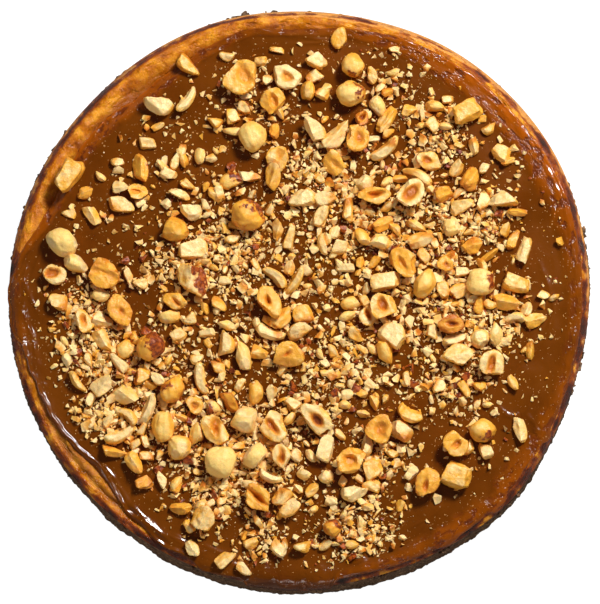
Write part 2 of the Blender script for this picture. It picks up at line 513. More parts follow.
# Loose crust crumbs along the side: angle in degrees, spread in degrees, count.
LOOSE_CRUST = (
    (97, 3, 7), (104, 5, 10), (88, 1.5, 4), (10, 6, 12), (-12, 3, 8), (-19, 2.5, 6), (217, 1, 3),
    (283, 3, 5), (276, 2, 4), (-45, 1.2, 4), (300, 20, 16), (240, 14, 12), (150, 20, 10),
)
LOOSE_CRUST_SIZES = (0.9, 2.6)

# Where each run of random draws starts. The shapes that it lays start one further on.
NUT_SEED = 7
CHOPPED_SEED = 19
BIT_SEED = 41
CHIP_SEED = 53
LOOSE_CRUST_SEED = 61
CRUMB_SEED = 77
FLAKE_SEED = 91

# Sizes of the meshes: points round a ring, squares along a kernel's edge, rings up the wall,
# steps along the caramel's path over the top and down the side, and how many shapes of shard.
AROUND_CRUST = 840
AROUND_FILLING = 720
AROUND_CARAMEL = 700
NUT_DETAIL = 15
PIECE_DETAIL = 12
SMALL_DETAIL = 9
BIT_DETAIL = 6
FLAKE_DETAIL = 4
WALL_RINGS = 44
WALL_TOP_COUNT = 720
TOP_STEPS = 61
SIDE_STEPS = 18
CHIP_SHAPES = 60
CRUMB_SHAPES = 40
LOOSE_CRUST_SHAPES = 20
# The fewest and most points that a shard is the hull of.
CHIP_POINTS = (8, 11)
CRUMB_POINTS = (5, 6)
# Edges sharper than these stay crisp, on the large hazelnuts and on the chopped ones.
CREASE_ANGLE = math.radians(28)
BROKEN_CREASE = math.radians(17)

# Colours as seen on the real thing, red, green and blue of 255.
CREAM = (254, 222, 156)
TAN = (236, 164, 56)
BLANCHED = (254, 214, 126)
GOLDEN = (247, 180, 60)
TOASTED = (200, 110, 22)
NUT_BROWN = (132, 62, 14)
NUT_SKIN = (108, 32, 2)
NUT_BARK = (178, 86, 16)
CARAMEL_BROWN = (95, 45, 1)
CARAMEL_PALE = (110, 55, 3)
CARAMEL_AMBER = (154, 74, 1)
CARAMEL_FILM = (188, 92, 8)
CARAMEL_STAIN = (146, 74, 6)
NUT_DUST = (214, 160, 92)
RIM_GOLD = (196, 110, 2)
RIM_PALE = (240, 160, 34)
RIM_DEEP = (132, 60, 3)
RIM_TAN = (236, 160, 74)
RIM_OLIVE = (94, 56, 8)
SCORCH_RUST = (150, 66, 10)
SCORCH_RED = (96, 38, 12)
SCORCH_BLACK = (46, 28, 20)
CRUST_DARK = (118, 92, 72)
CRUST_BROWN = (136, 102, 76)
CRUST_PALE = (184, 144, 106)
CRUST_BLACK = (60, 43, 33)


def smooth(t):
    """0 up to 0 and 1 from 1 on, with a soft S between."""
    t = np.clip(t, 0.0, 1.0)
    return t * t * (3 - 2 * t)


def hill(off, width):
    """1 where off is 0, falling away over about this width."""
    return np.exp(-((off / width) ** 2))


def around_table(values, angle):
    """A smooth closed curve through values that lie evenly round the circle."""
    table = np.asarray(values, float)
    place = (np.asarray(angle, float) / TURN) % 1.0 * len(table)
    here = place.astype(int)
    t = place - here
    a, b, c, d = (table[(here + k) % len(table)] for k in (-1, 0, 1, 2))
    cubic = 2 * b + (c - a) * t + (2 * a - 5 * b + 4 * c - d) * t**2 + (3 * (b - c) + d - a) * t**3
    return cubic / 2


def degrees_from(angle, place):
    """How far each angle lies from a place in degrees, between -180 and 180."""
    return (np.degrees(angle) - place + 180) % 360 - 180


def window(angle, start, end, soft):
    """1 between two angles in degrees, easing to 0 over soft degrees outside them."""
    off = np.abs(degrees_from(angle, (start + end) / 2)) - (end - start) / 2
    return 1 - smooth(off / soft)


def flat_spots(x, y):
    """Points at these places and at height 0."""
    return np.stack([x, y, np.zeros_like(x)], axis=-1)


def swells(points, size, seed, count=14):
    """Smooth random swells about size across, mostly between -1 and 1."""
    rng = np.random.default_rng(seed)
    ways = rng.normal(size=(count, 3))
    ways /= np.linalg.norm(ways, axis=1)[:, None]
    rates = TURN / size * rng.uniform(0.55, 1.4, count)
    phases = rng.uniform(0, TURN, count)
    total = np.zeros(len(points))
    for way, rate, phase in zip(ways, rates, phases):
        total += np.sin(points @ way * rate + phase)
    return total / math.sqrt(count) / 1.3


def side_radius(angle):
    """Distance from the middle to the cake's side."""
    return around_table(SIDE_RADII, angle)


def lip_radius(angle):
    """Distance from the middle to the caramel's lip, before it is made ragged."""
    return np.minimum(around_table(LIP_RADII, angle), side_radius(angle) - LIP_CLEARANCE)


def wall_top_at(angle):
    """Height of the crust's crumbly top edge at one angle."""
    swing = WALL_HEIGHT_SWING * math.cos(angle - WALL_HIGH_SIDE)
    around = Vector((3.2 * math.cos(angle), 3.2 * math.sin(angle), 0.0))
    return WALL_MEAN_HEIGHT + swing + 1.4 * noise.noise(around) + 0.7 * noise.noise(4 * around)


WALL_TOPS = [wall_top_at(k * TURN / WALL_TOP_COUNT) for k in range(WALL_TOP_COUNT)]


def wall_top(angle):
    """Height of the crust's top edge."""
    return around_table(WALL_TOPS, angle)


def filling_top(radius, angle):
    """Height of the filling: level, then rising to the rim, then falling over the shoulder."""
    inset = side_radius(angle) - radius
    rise = smooth((RIM_FOOT - inset) / (RIM_FOOT - RIM_INSET))
    crown = TOP_HEIGHT + (RIM_HEIGHT - TOP_HEIGHT) * rise
    low = np.maximum(SHOULDER_DROP_LIMIT, wall_top(angle) + 2 * GAP)
    fall = (1 - np.clip(inset, 0, RIM_INSET) / RIM_INSET) ** 2.2
    return np.where(inset >= RIM_INSET, crown, RIM_HEIGHT - (RIM_HEIGHT - low) * fall)


def caramel_level(radius):
    """Height of the pool of caramel, a little lower towards the rim."""
    return CARAMEL_LEVEL - CARAMEL_SETTLED * smooth((radius - 84) / 22)


def caramel_top(radius, angle):
    """Height of the caramel that the nuts rest on."""
    on_rim = filling_top(radius, angle) + GAP + FILM_THICKNESS
    return np.maximum(caramel_level(radius), on_rim)


def laid_at(points, x, y, sink):
    """Points moved to lie on the caramel at x, y, sunk this deep."""
    rest = float(caramel_top(math.hypot(x, y), math.atan2(y, x))) - sink
    return points + (x, y, rest - points[:, 2].min())


def streaks(inset, angle, seed):
    """Long thin streaks along the rim, mostly between -1 and 1."""
    around = MEAN_RADIUS * angle
    broad = swells(flat_spots(1.5 * inset, 0.2 * around), 5, seed)
    fine = swells(flat_spots(3.6 * inset, 0.5 * around), 5, seed + 1)
    return 0.7 * broad + 0.45 * fine


def rim_relief(x, y, inset, angle):
    """How the baked rim swells, wrinkles and sinks, in height."""
    spots = flat_spots(x, y)
    soft = 0.45 * swells(spots, 15, 3) + 0.2 * swells(spots, 5.5, 4)
    fine = 0.09 * swells(spots, 1.7, 5)
    bent = 0.55 * swells(spots, 17, 6)
    crease = 0.12 * window(angle, 15, 82, 14) * np.sin(TURN * (inset / 2.4 + bent))
    rippled = 0.08 + 0.1 * window(angle, 10, 85, 15) + 0.1 * window(angle, 195, 250, 12)
    crease = crease + rippled * streaks(inset, angle, 41)
    groove = GROOVE_DEPTH * window(angle, 206, 243, 9) * hill(inset - GROOVE_INSET, GROOVE_WIDTH)
    fade = smooth((13 - inset) / 5) * smooth(inset / 1.2)
    return fade * (soft + fine + crease) - groove


def baked_top(x, y, radius, angle):
    """Height of the filling with its baked relief."""
    inset = side_radius(angle) - radius
    return filling_top(radius, angle) + rim_relief(x, y, inset, angle)


def make_piece(name, points, faces, paint, material, slot):
    """A piece from points in millimetres, with four painted values at each point."""
    mesh = bpy.data.meshes.new(name)
    mesh.from_pydata((np.asarray(points) * MM).tolist(), [], faces)
    mesh.shade_smooth()
    if paint is not None:
        layer = mesh.color_attributes.new("paint", "FLOAT_COLOR", "POINT")
        layer.data.foreach_set("color", np.asarray(paint, np.float32).ravel())
    mesh.materials.append(material)
    piece = bpy.data.objects.new(name, mesh)
    bpy.context.scene.collection.objects.link(piece)
    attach(piece, BODY)
    return piece


def ring_angles(count):
    """So many angles, evenly round the circle."""
    return np.arange(count) * TURN / count


def ring_at(radius, angle, height):
    """One ring of points round the middle, a point at each angle."""
    return np.stack([radius * np.cos(angle), radius * np.sin(angle), height + 0 * radius], -1)


def turned_shape(rings):
    """Points and faces of a closed body of rings, listed from its underside outwards and up.

    The last two points are the middles of the first and the last ring.
    """
    rings = np.asarray(rings)
    count, around = rings.shape[:2]
    points = np.vstack([rings.reshape(-1, 3), rings[0].mean(0), rings[-1].mean(0)])
    here = np.arange(around)
    after = (here + 1) % around
    faces = []
    for row in range(count - 1):
        low = row * around
        high = low + around
        faces += np.stack([low + here, low + after, high + after, high + here], 1).tolist()
    bottom = count * around
    top = bottom + 1
    last = bottom - around
    faces += [(bottom, b, a) for a, b in zip(here.tolist(), after.tolist())]
    faces += [(top, last + a, last + b) for a, b in zip(here.tolist(), after.tolist())]
    return points, faces


def ring_paints(paints):
    """The painted values of all rings, and none at the two middles."""
    return np.vstack([*paints, np.zeros((2, 4))])


def crumb_lumps(angle, radius, height):
    """Pressed crumbs on the crust's side, as bumps from about -1 to 1."""
    lumps = []
    for a, r, z in zip(angle, radius, height):
        place = Vector((r * math.cos(a), r * math.sin(a), z))
        near, next_near = noise.voronoi(place / CRUMB_LUMP_SIZE)[0][:2]
        lumps.append(1.3 * (next_near - near) - 0.45 + 0.5 * noise.noise(place / 1.3))
    return np.array(lumps)


def build_crust(material):
    """The pressed crust: its base, its crumbly side and its uneven top edge."""
    angle = ring_angles(AROUND_CRUST)
    side = side_radius(angle)
    top = wall_top(angle)
    rings = [ring_at(side - BASE_CHAMFER, angle, 0.0)]
    for share in np.linspace(0.0, 1.0, WALL_RINGS):
        height = BASE_CHAMFER + (top - WALL_TOP_ROUNDING - BASE_CHAMFER) * share
        lumps = crumb_lumps(angle, side, height)
        slump = 0.5 * swells(ring_at(side, angle, height), 30, 11)
        rings.append(ring_at(side + CRUMB_LUMP_RELIEF * lumps + slump, angle, height))
    for inset, drop in WALL_TOP_RINGS:
        lumps = crumb_lumps(angle, side - inset, top)
        rings.append(ring_at(side - inset, angle, top - drop + 0.3 * lumps))
    rings.append(ring_at(side - WALL_THICKNESS, angle, BASE_THICKNESS))
    piece = make_piece("pressed_crust", *turned_shape(rings), None, material, "crust_crumb")
    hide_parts("crumb_crust")


def rim_paint(ring):
    """How tan, how scorched and how sunken each point of the rim is, and how far in it lies."""
    x, y, height = ring.T
    angle = np.arctan2(y, x)
    inset = side_radius(angle) - np.hypot(x, y)
    spots = flat_spots(x, y)
    patch = 0.7 * swells(spots, 16, 21) + 0.5 * swells(spots, 6, 22) + 0.3 * swells(spots, 2.6, 24)
    streak = streaks(inset, angle, 23)
    tan_width = around_table(TAN_WIDTH, angle)
    tan = (1 - smooth((inset + 0.7 * streak - tan_width) / 1.4)) * (tan_width > 0.3)
    off = inset + 0.5 * patch - around_table(SCORCH_INSET, angle)
    band = hill(off, around_table(SCORCH_WIDTH, angle))
    strength = around_table(SCORCH_STRENGTH, angle)
    scorch = strength * (0.7 + 0.55 * patch) * band + 0.5 * streak * band
    low = smooth((43.0 - height) / 3.5) * window(angle, 125, 350, 15)
    scorch = np.maximum(scorch, (0.55 + 0.3 * streak + 0.25 * patch) * low)
    sunk = window(angle, 203, 246, 8) * hill(inset - SUNKEN_INSET, GROOVE_WIDTH)
    return np.stack([tan, np.clip(scorch, 0, 1), sunk, inset / RIM_PAINT_REACH], 1)


def build_filling(material):
    """The baked filling, with rings close together over its rim."""
    angle = ring_angles(AROUND_FILLING)
    side = side_radius(angle)
    inner = side - WALL_THICKNESS - GAP
    above = wall_top(angle) + GAP
    rings = [ring_at(inner, angle, BASE_THICKNESS + GAP), ring_at(inner, angle, above)]
    rings.append(ring_at(side - 0.3, angle, above))
    inset = 0.0
    while inset < RIM_FOOT + 1:
        radius = side - inset
        x, y = radius * np.cos(angle), radius * np.sin(angle)
        rings.append(ring_at(radius, angle, baked_top(x, y, radius, angle)))
        inset += 0.12 + min(0.05 * inset, 0.32)
    paint = ring_paints([rim_paint(ring) for ring in rings])
    piece = make_piece("baked_cheesecake", *turned_shape(rings), paint, material, "baked_filling")
    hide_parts("cheesecake")


def top_path(angle):
    """A line from the middle over the cake's top and down its side, at one angle.

    Gives the distance run along it, its radius and height there, and the way that the surface
    faces, as its outward and its upward part.
    """
    side = float(side_radius(angle))
    inset = 20 * (1 - np.linspace(0, 1, TOP_STEPS - 1)) ** 1.6
    radius = np.concatenate([[0.0], side - inset])
    height = filling_top(radius, np.full(len(radius), angle))
    down = np.linspace(0.6, 15, SIDE_STEPS)
    radius = np.concatenate([radius, np.full(SIDE_STEPS, side + 0.35)])
    height = np.concatenate([height, height[-1] - down])
    way = np.concatenate([[0.0], np.cumsum(np.hypot(np.diff(radius), np.diff(height)))])
    run, rise = np.gradient(radius, way), np.gradient(height, way)
    return way, radius, height, -rise, run


def lip_insets(reach):
    """Distances in from the lip, close together near it."""
    insets = [0.0]
    while insets[-1] < reach - 2.0:
        far = insets[-1]
        step = min(0.07 + 0.3 * far, 0.4)
        if far > 11:
            step = 0.5
        if far > 34:
            step = min(0.5 + 0.12 * (far - 34), 2.2)
        insets.append(far + step)
    return np.array(insets)


def fold_height(x, y):
    """Height that the folds add at each point."""
    total = np.zeros_like(x)
    for line, height, width in FOLDS:
        line = np.array(line, float)
        nearest = np.full(x.shape, 1e9)
        length = 0.0
        whole = np.hypot(*np.diff(line, axis=0).T).sum()
        ease = np.ones_like(x)
        for (ax, ay), (bx, by) in zip(line, line[1:]):
            span = math.hypot(bx - ax, by - ay)
            along = np.clip(((x - ax) * (bx - ax) + (y - ay) * (by - ay)) / span**2, 0, 1)
            off = np.hypot(x - ax - along * (bx - ax), y - ay - along * (by - ay))
            share = (length + along * span) / whole
            risen = np.sin(np.pi * np.clip(share, 0.04, 0.96)) ** 0.5
            ease = np.where(off < nearest, risen, ease)
            nearest = np.minimum(nearest, off)
            length += span
        total += height * ease * hill(nearest, width)
    return total


def caramel_reach(angle, paths):
    """How far along each path the caramel runs: to its ragged lip, and over the side in drips."""
    lip = lip_radius(angle)
    edge = ring_at(lip, angle, 0.0)
    ragged = 0.4 * swells(edge, 18, 31) + 0.14 * swells(edge, 6, 32)
    wavy = window(angle, 118, 262, 14)
    ragged = ragged + wavy * (0.3 * swells(edge, 9, 36) + 0.25 * swells(edge, 3.6, 37))
    on_top = slice(TOP_STEPS)
    reach = [np.interp(r, path[1][on_top], path[0][on_top]) for r, path in zip(lip, paths)]
    reach = np.array(reach) + ragged
    for place, half, length in DRIPS:
        reach = reach + length * np.exp(-np.abs(degrees_from(angle, place) / half) ** 3.4)
    return reach


def caramel_waves(x, y, inset, angle):
    """Soft waves that the pouring left, calmer at the upper right."""
    spots = flat_spots(x, y)
    calm = 1 - 0.7 * window(angle, 10, 90, 12)
    wave = calm * (0.14 * swells(spots, 11, 33) + 0.05 * swells(spots, 4.5, 34))
    wave = wave * smooth(inset / 2) * smooth((30 - inset) / 12)
    return wave + 0.06 * swells(spots, 26, 35)


def lip_bead(x, y, inset, thick, angle):
    """The bead that runs along the lip where it is thick."""
    bead = 0.5 * hill(inset - 1.3 * thick, 0.55 * thick) * (thick > 1)
    bead = bead * (0.1 + 0.5 * window(angle, 222, 250, 6))
    return bead * (1 + 0.6 * swells(flat_spots(x, y), 9, 38))


def caramel_ring(angle, way, inset, paths):
    """One ring of the caramel's surface, this far in from its lip, and its painted values."""
    columns = []
    for w, path in zip(way, paths):
        columns.append([np.interp(w, path[0], values) for values in path[1:]])
    radius, height, out, up = np.array(columns).T
    x, y = radius * np.cos(angle), radius * np.sin(angle)
    from_side = side_radius(angle) - radius
    under = height + rim_relief(x, y, from_side, angle)
    thick = around_table(LIP_THICKNESS, angle)
    film = around_table(FILM_WIDTH, angle)
    round_lip = np.sqrt(1 - (1 - np.clip(inset / (0.35 + 0.9 * thick), 0, 1)) ** 2)
    gap = caramel_level(radius) - under - FILM_THICKNESS
    within = smooth((from_side - 2.5) / 3.5)
    body = FILM_THICKNESS + 0.5 * (gap + np.hypot(gap, 0.5)) * within
    bead = lip_bead(x, y, inset, thick, angle)
    wave = caramel_waves(x, y, inset, angle)
    hanging = smooth((43 - height) / 6)
    lip_part = thick * (1 - 0.6 * hanging) * round_lip * (1 - smooth(inset / (film + 1)))
    depth = lip_part + body * smooth(inset / (0.6 * film + 1)) + (bead + wave) * round_lip
    depth = np.maximum(depth, 0.02 + 0.2 * round_lip)
    folds = fold_height(x, y) * smooth(inset / 1.2)
    glow = around_table(AMBER, angle)
    thin = (1 - smooth(depth / 1.6)) * (0.2 + 0.8 * glow)
    amber = glow * smooth(1.3 - inset / (0.4 + 1.2 * film))
    ring = ring_at(radius + depth * out, angle, under + depth * up + folds)
    return ring, np.stack([thin, amber, 0 * thin, 0 * thin], 1)


def build_caramel(material):
    """The poured caramel, from its underside over its lip to the middle of its pool."""
    angle = ring_angles(AROUND_CARAMEL)
    paths = [top_path(a) for a in angle]
    reach = caramel_reach(angle, paths)
    insets = lip_insets(float(reach.min()))
    rings = []
    for inset in UNDERSIDE_INSETS:
        radius = np.minimum(reach, side_radius(angle)) - inset
        x, y = radius * np.cos(angle), radius * np.sin(angle)
        rings.append(ring_at(radius, angle, baked_top(x, y, radius, angle) - UNDERSIDE_DEPTH))
    paints = [np.zeros((len(rings) * AROUND_CARAMEL, 4))]
    for inset, share in zip(insets, insets / insets[-1]):
        way = reach - inset - (reach - reach.min()) * share**2
        ring, paint = caramel_ring(angle, way, inset, paths)
        rings.append(ring)
        paints.append(paint)
    paint = ring_paints(paints)
    piece = make_piece("poured_caramel", *turned_shape(rings), paint, material, "caramel")
    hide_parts("caramel")


BALLS = {}


def ball(detail):
    """Directions and faces of a ball made from a cube with this many squares along each edge."""
    if detail in BALLS:
        return BALLS[detail]
    numbers = {}
    faces = []
    for axis in range(3):
        for end in (0, detail):
            others = [k for k in range(3) if k != axis]
            for i in range(detail):
                for j in range(detail):
                    corners = [(i, j), (i + 1, j), (i + 1, j + 1), (i, j + 1)]
                    if (end == 0) != (axis == 1):
                        corners.reverse()
                    face = []
                    for a, b in corners:
                        key = [0, 0, 0]
                        key[axis], key[others[0]], key[others[1]] = end, a, b
                        face.append(numbers.setdefault(tuple(key), len(numbers)))
                    faces.append(face)
    places = np.array(list(numbers), float) / detail * 2 - 1
    ways = np.tan(places * math.pi / 4)
    ways /= np.linalg.norm(ways, axis=1)[:, None]
    BALLS[detail] = ways, np.array(faces)
    return BALLS[detail]


def deep_inside(cuts, bites):
    """A point well inside a ball of radius 1 that has been cut and bitten."""
    steps = np.linspace(-0.95, 0.95, 15)
    grid = np.stack(np.meshgrid(steps, steps, steps), -1).reshape(-1, 3)
    kept = np.linalg.norm(grid, axis=1) < 1
    for way, distance in cuts:
        kept &= grid @ way < distance
    for middle, radius in bites:
        kept &= np.linalg.norm(grid - middle, axis=1) > radius
    return grid[kept].mean(0)


def jolt(rng, reach):
    """A small random step along each axis."""
    return [rng.uniform(-reach, reach) for _ in range(3)]


def kernel_cuts(kind, rng):
    """The cuts and bites that make one piece of this kind."""
    cuts = []
    for way, distance in CUTS[kind]:
        way = np.array(way, float) / np.linalg.norm(way)
        way = way + jolt(rng, 0.16)
        cuts.append((way, distance))
        for _ in range(rng.randint(0, 2)):
            beside = way + jolt(rng, 0.4)
            cuts.append((beside, distance * rng.uniform(1.0, 1.12) + 0.05))
    fewest, most, near, far = BREAKS[kind]
    for _ in range(rng.randint(fewest, most)):
        a = rng.uniform(0, TURN)
        way = np.array((math.cos(a), math.sin(a), rng.uniform(-0.35, 0.7)))
        cuts.append((way, rng.uniform(near, far)))
    for _ in range(rng.randint(*NICKS)):
        way = np.array([rng.gauss(0, 1) for _ in range(3)])
        cuts.append((way, rng.uniform(*NICK_DISTANCES)))
    bites = list(BITES.get(kind, ()))
    if kind == "half" and rng.random() < BROKEN_HALF_CHANCE:
        bites.append(BROKEN_HALF_BITE)
    bites = [(np.array(middle, float), radius) for middle, radius in bites]
    return [(way / np.linalg.norm(way), distance) for way, distance in cuts], bites


def reach_to_bite(ways, middle, bite):
    """How far each direction from the middle runs before it meets a round bite."""
    centre, radius = bite
    toward = ways @ (centre - middle)
    square = toward**2 - (centre - middle) @ (centre - middle) + radius**2
    far = toward - np.sqrt(np.maximum(square, 0))
    return np.where((square > 0) & (far > 0), far, NEVER)


def reach_to_cut(ways, middle, cut):
    """How far each direction from the middle runs before it meets a flat cut."""
    way, distance = cut
    facing = ways @ way
    room = distance - middle @ way
    return np.where(facing > 0.05, room / np.maximum(facing, 0.05), NEVER)


def roughness_of(points, cut, seed):
    """How far a kernel's ribs, dents and chips stand out at each point."""
    lengthwise = np.arctan2(points[:, 2], points[:, 1])
    rib = np.sin(6 * lengthwise + 2.5 * np.sin(2 * lengthwise + seed) + 3 * points[:, 0])
    groove = (0.022 * rib + 0.015 * swells(points, 0.6, seed + 4)) * (1 - cut)
    lumps = 0.06 * swells(points, 1.5, seed) * (1 - 0.6 * cut)
    chips = 0.045 * swells(points, 0.75, seed + 1) * cut + 0.012 * swells(points, 0.25, seed + 2)
    return groove + lumps + chips


def half_hollow(points, cut, rng, seed):
    """The seed's bed in a half's cut face: how browned each point is, and how far it sinks."""
    a = rng.uniform(-0.5, 0.5)
    x = points[:, 0] - rng.uniform(-0.16, 0.12)
    y = points[:, 1] - rng.uniform(-0.12, 0.12)
    along = (x * math.cos(a) + y * math.sin(a)) / rng.uniform(0.5, 0.85)
    across = (y * math.cos(a) - x * math.sin(a)) / rng.uniform(0.32, 0.6)
    off = np.hypot(along, across) + 0.3 * swells(points, 1.1, seed + 3)
    browned = (1 - smooth(off / 1.3)) * cut
    bed = 1 - smooth((off - 0.2) / 0.65)
    return browned, rng.uniform(0.22, 0.46) * bed * cut


def kernel_shape(kind, size, detail, rng):
    """A kernel cut as its kind says, standing on z = 0 with its slim end towards +X.

    Gives its points and faces, and how much of a cut and of a browned hollow each point is.
    """
    cuts, bites = kernel_cuts(kind, rng)
    rounding = EDGE_ROUNDING.get(kind, SHARP_EDGE)
    seed = rng.randrange(10000)
    middle = deep_inside(cuts, bites)
    ways, faces = ball(detail)
    slant = ways @ middle
    reaches = [np.sqrt(slant**2 + 1 - middle @ middle) - slant]
    reaches += [reach_to_cut(ways, middle, cut) for cut in cuts]
    reaches += [reach_to_bite(ways, middle, bite) for bite in bites]
    reaches = np.array(reaches)
    nearest = reaches.min(0)
    weight = np.exp(-(reaches - nearest) / rounding)
    reach = nearest - rounding * np.log(weight.sum(0))
    cut = 1 - weight[0] / weight.sum(0)
    if kind == "whole":
        cut = 0 * cut
    points = middle + ways * reach[:, None]
    points = points + ways * roughness_of(points, cut, seed)[:, None]
    slim = 1 - KERNEL_TAPER * np.maximum(points[:, 0], 0) ** 2
    points[:, 1:] *= slim[:, None]
    if kind not in ("whole", "crescent"):
        points[:, 1] *= 1 + rng.uniform(-0.3, 0.3) * points[:, 0]
        points[:, 0] += rng.uniform(-0.3, 0.3) * points[:, 1]
    hollow = np.zeros(len(points))
    if kind == "half":
        hollow, drop = half_hollow(points, cut, rng, seed)
        points[:, 2] -= drop
    low, high = points.min(0), points.max(0)
    points = (points - (low + high) / 2) / (high - low) * size
    points[:, 2] += size[2] / 2
    return points, faces, cut, hollow


def spin(a):
    """The matrix of a turn about Z."""
    return np.array([[math.cos(a), -math.sin(a), 0], [math.sin(a), math.cos(a), 0], [0, 0, 1]])


def random_turn(rng, lean):
    """A turn about Z after a lean of up to so many degrees."""
    a, b, c = rng.uniform(0, TURN), rng.uniform(0, TURN), math.radians(lean) * rng.random()
    across, along = math.cos(b), math.sin(b)
    cross = np.array([[0, 0, along], [0, 0, -across], [-along, across, 0]])
    tilt = np.eye(3) + math.sin(c) * cross + (1 - math.cos(c)) * cross @ cross
    return spin(a) @ tilt


def skin_mask(points, amount, degrees):
    """How likely skin is at each point: most on the side at this angle and on top."""
    if amount == 0:
        return np.zeros(len(points))
    way = np.array((math.cos(math.radians(degrees)), math.sin(math.radians(degrees)), 0.35))
    middle = (points.min(0) + points.max(0)) / 2
    ways = points - middle
    ways /= np.linalg.norm(ways, axis=1)[:, None]
    return np.clip(amount + 0.45 * (ways @ way) - 0.1, 0, 1)


def steepness(points, faces):
    """How steep the surface is at each point: 0 facing up, 1 upright or facing down."""
    corners = points[faces]
    across = np.cross(corners[:, 2] - corners[:, 0], corners[:, 3] - corners[:, 1])
    normals = np.zeros_like(points)
    for corner in range(4):
        np.add.at(normals, faces[:, corner], across)
    lengths = np.maximum(np.linalg.norm(normals, axis=1), 1e-9)
    return 1 - np.clip(normals[:, 2] / lengths, 0, 1)


def toasting(points, faces, tone):
    """How toasted each point of a kernel is: more at its foot and on its steep sides."""
    low, high = points[:, 2].min(), points[:, 2].max()
    foot = (1 - (points[:, 2] - low) / (high - low)) ** 1.5
    return tone + FOOT_TOASTING * foot + SIDE_TOASTING * steepness(points, faces)


def lay_hazelnut(
    material, rng, node, length, width, turn, tone, dark=0.0, skin=0.0, skin_side=0
):
    """One large hazelnut, filling the box of the node that it stands for."""
    kind = node.split("_")[1]
    points, faces, cut, hollow = kernel_shape(kind, (length, width, 1.0), NUT_DETAIL, rng)
    points = points @ spin(math.radians(turn)).T
    low, high = (np.array(corner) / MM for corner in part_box(node))
    low[2] -= GAP + NUT_SINK
    mine = points.min(0), points.max(0)
    points = (points - mine[0]) / (mine[1] - mine[0]) * (high - low) + low
    shade = toasting(points, faces, tone)
    skins = skin_mask(points, skin, skin_side) * (1 - 0.75 * cut * (kind != "wedge"))
    paint = np.stack([cut, hollow * dark, shade, skins], 1)
    name = node.replace("hazelnut", "roasted")
    piece = make_piece(name, points, faces.tolist(), paint, material, "roasted_hazelnut")
    if kind != "whole":
        piece.data.set_sharp_from_angle(angle=CREASE_ANGLE)
    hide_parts(node)


def build_hazelnuts(material):
    """The large hazelnuts, in the table's order."""
    rng = random.Random(NUT_SEED)
    for node, row in HAZELNUTS.items():
        lay_hazelnut(material, rng, node, *row)


def make_heap(name, shapes, material, slot="roasted_hazelnut"):
    """One piece of many shapes, each given by its points, faces and paint."""
    points, faces, paint = [], [], []
    start = 0
    for shape_points, shape_faces, shape_paint in shapes:
        points.append(shape_points)
        faces.append(np.asarray(shape_faces) + start)
        paint.append(shape_paint)
        start += len(shape_points)
    faces = np.vstack(faces).tolist()
    return make_piece(name, np.vstack(points), faces, np.vstack(paint), material, slot)


def same_paint(points, *values):
    """The same four painted values at every point."""
    return np.tile(values, (len(points), 1))


def laid_piece(detail, rng, sink, kind, x, y, length, width, height, turn, look="plain"):
    """One chopped piece lying in the caramel: its points, faces and paint."""
    tone, skin = LOOKS[look]
    points, faces, cut, hollow = kernel_shape(kind, (length, width, height), detail, rng)
    lean = rng.uniform(-0.3, 0.3), rng.uniform(-0.35, 0.35)
    points[:, 2] += points[:, 0] * lean[0] + points[:, 1] * lean[1]
    points = laid_at(points @ spin(math.radians(turn)).T, x, y, sink)
    tone = tone + KIND_TOASTING.get(kind, 0.0) + rng.gauss(-0.03, 0.17)
    if look == "plain" and rng.random() < SKINNED_CHANCE:
        skin = rng.uniform(0.25, 0.55)
    skins = skin_mask(points, skin, rng.uniform(0, 360)) * (1 - 0.5 * cut)
    dark = 0.9 if look == "toasted" else rng.uniform(0.35, 0.8)
    browned = hollow * dark
    if kind != "half" and rng.random() < BROWNED_CHANCE:
        a = rng.uniform(0, TURN)
        side = (points[:, 0] - x) * math.cos(a) + (points[:, 1] - y) * math.sin(a)
        browned = rng.uniform(0.2, 0.55) * smooth(side / (0.45 * width)) * cut
    return points, faces, np.stack([cut, browned, toasting(points, faces, tone), skins], 1)


def drift_spot(rng, drifts):
    """A spot on the cake, likeliest where the small bits drift together."""
    x, y, reach, _ = rng.choices(drifts, weights=[drift[3] for drift in drifts])[0]
    far = reach * math.sqrt(rng.random()) * rng.uniform(0.5, 1.5)
    angle = rng.uniform(0, TURN)
    return x + far * math.cos(angle), y + far * math.sin(angle)


def inside_lip(x, y, margin):
    """Whether a spot lies on the caramel, at least this far in from its lip."""
    return math.hypot(x, y) < float(lip_radius(math.atan2(y, x))) - margin


def crowded(x, y, reach, taken):
    """Whether something of this reach would touch what lies there already."""
    return any(math.hypot(x - a, y - b) < r + reach for a, b, r in taken)


def spot_of(row):
    """Place and reach of a piece of the tables."""
    return row[1], row[2], BIT_SPACING * (row[3] + row[4]) / 2


def nut_spots():
    """Places and reaches of the large hazelnuts."""
    spots = []
    for node, (length, width, *_) in HAZELNUTS.items():
        low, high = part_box(node)
        x, y = (low.x + high.x) / 2 / MM, (low.y + high.y) / 2 / MM
        spots.append((x, y, BIT_SPACING * (length + width) / 2))
    return spots


def small_bits(taken):
    """The small chopped bits, largest first, clear of each other and of the larger pieces."""
    rng = random.Random(BIT_SEED)
    bits = []
    while len(bits) < BIT_COUNT:
        x, y = drift_spot(rng, DRIFTS)
        share = len(bits) / BIT_COUNT
        length = LARGEST_BIT + (SMALLEST_BIT - LARGEST_BIT) * share
        size = (length, length * rng.uniform(0.5, 0.75), length * rng.uniform(0.5, 0.65))
        kind = rng.choice(BIT_KINDS)
        turn = rng.uniform(0, 360)
        if not inside_lip(x, y, BIT_MARGIN) or crowded(x, y, 0.4 * length, taken):
            continue
        taken.append((x, y, BIT_SPACING * length))
        bits.append((kind, x, y, *size, turn))
    return bits


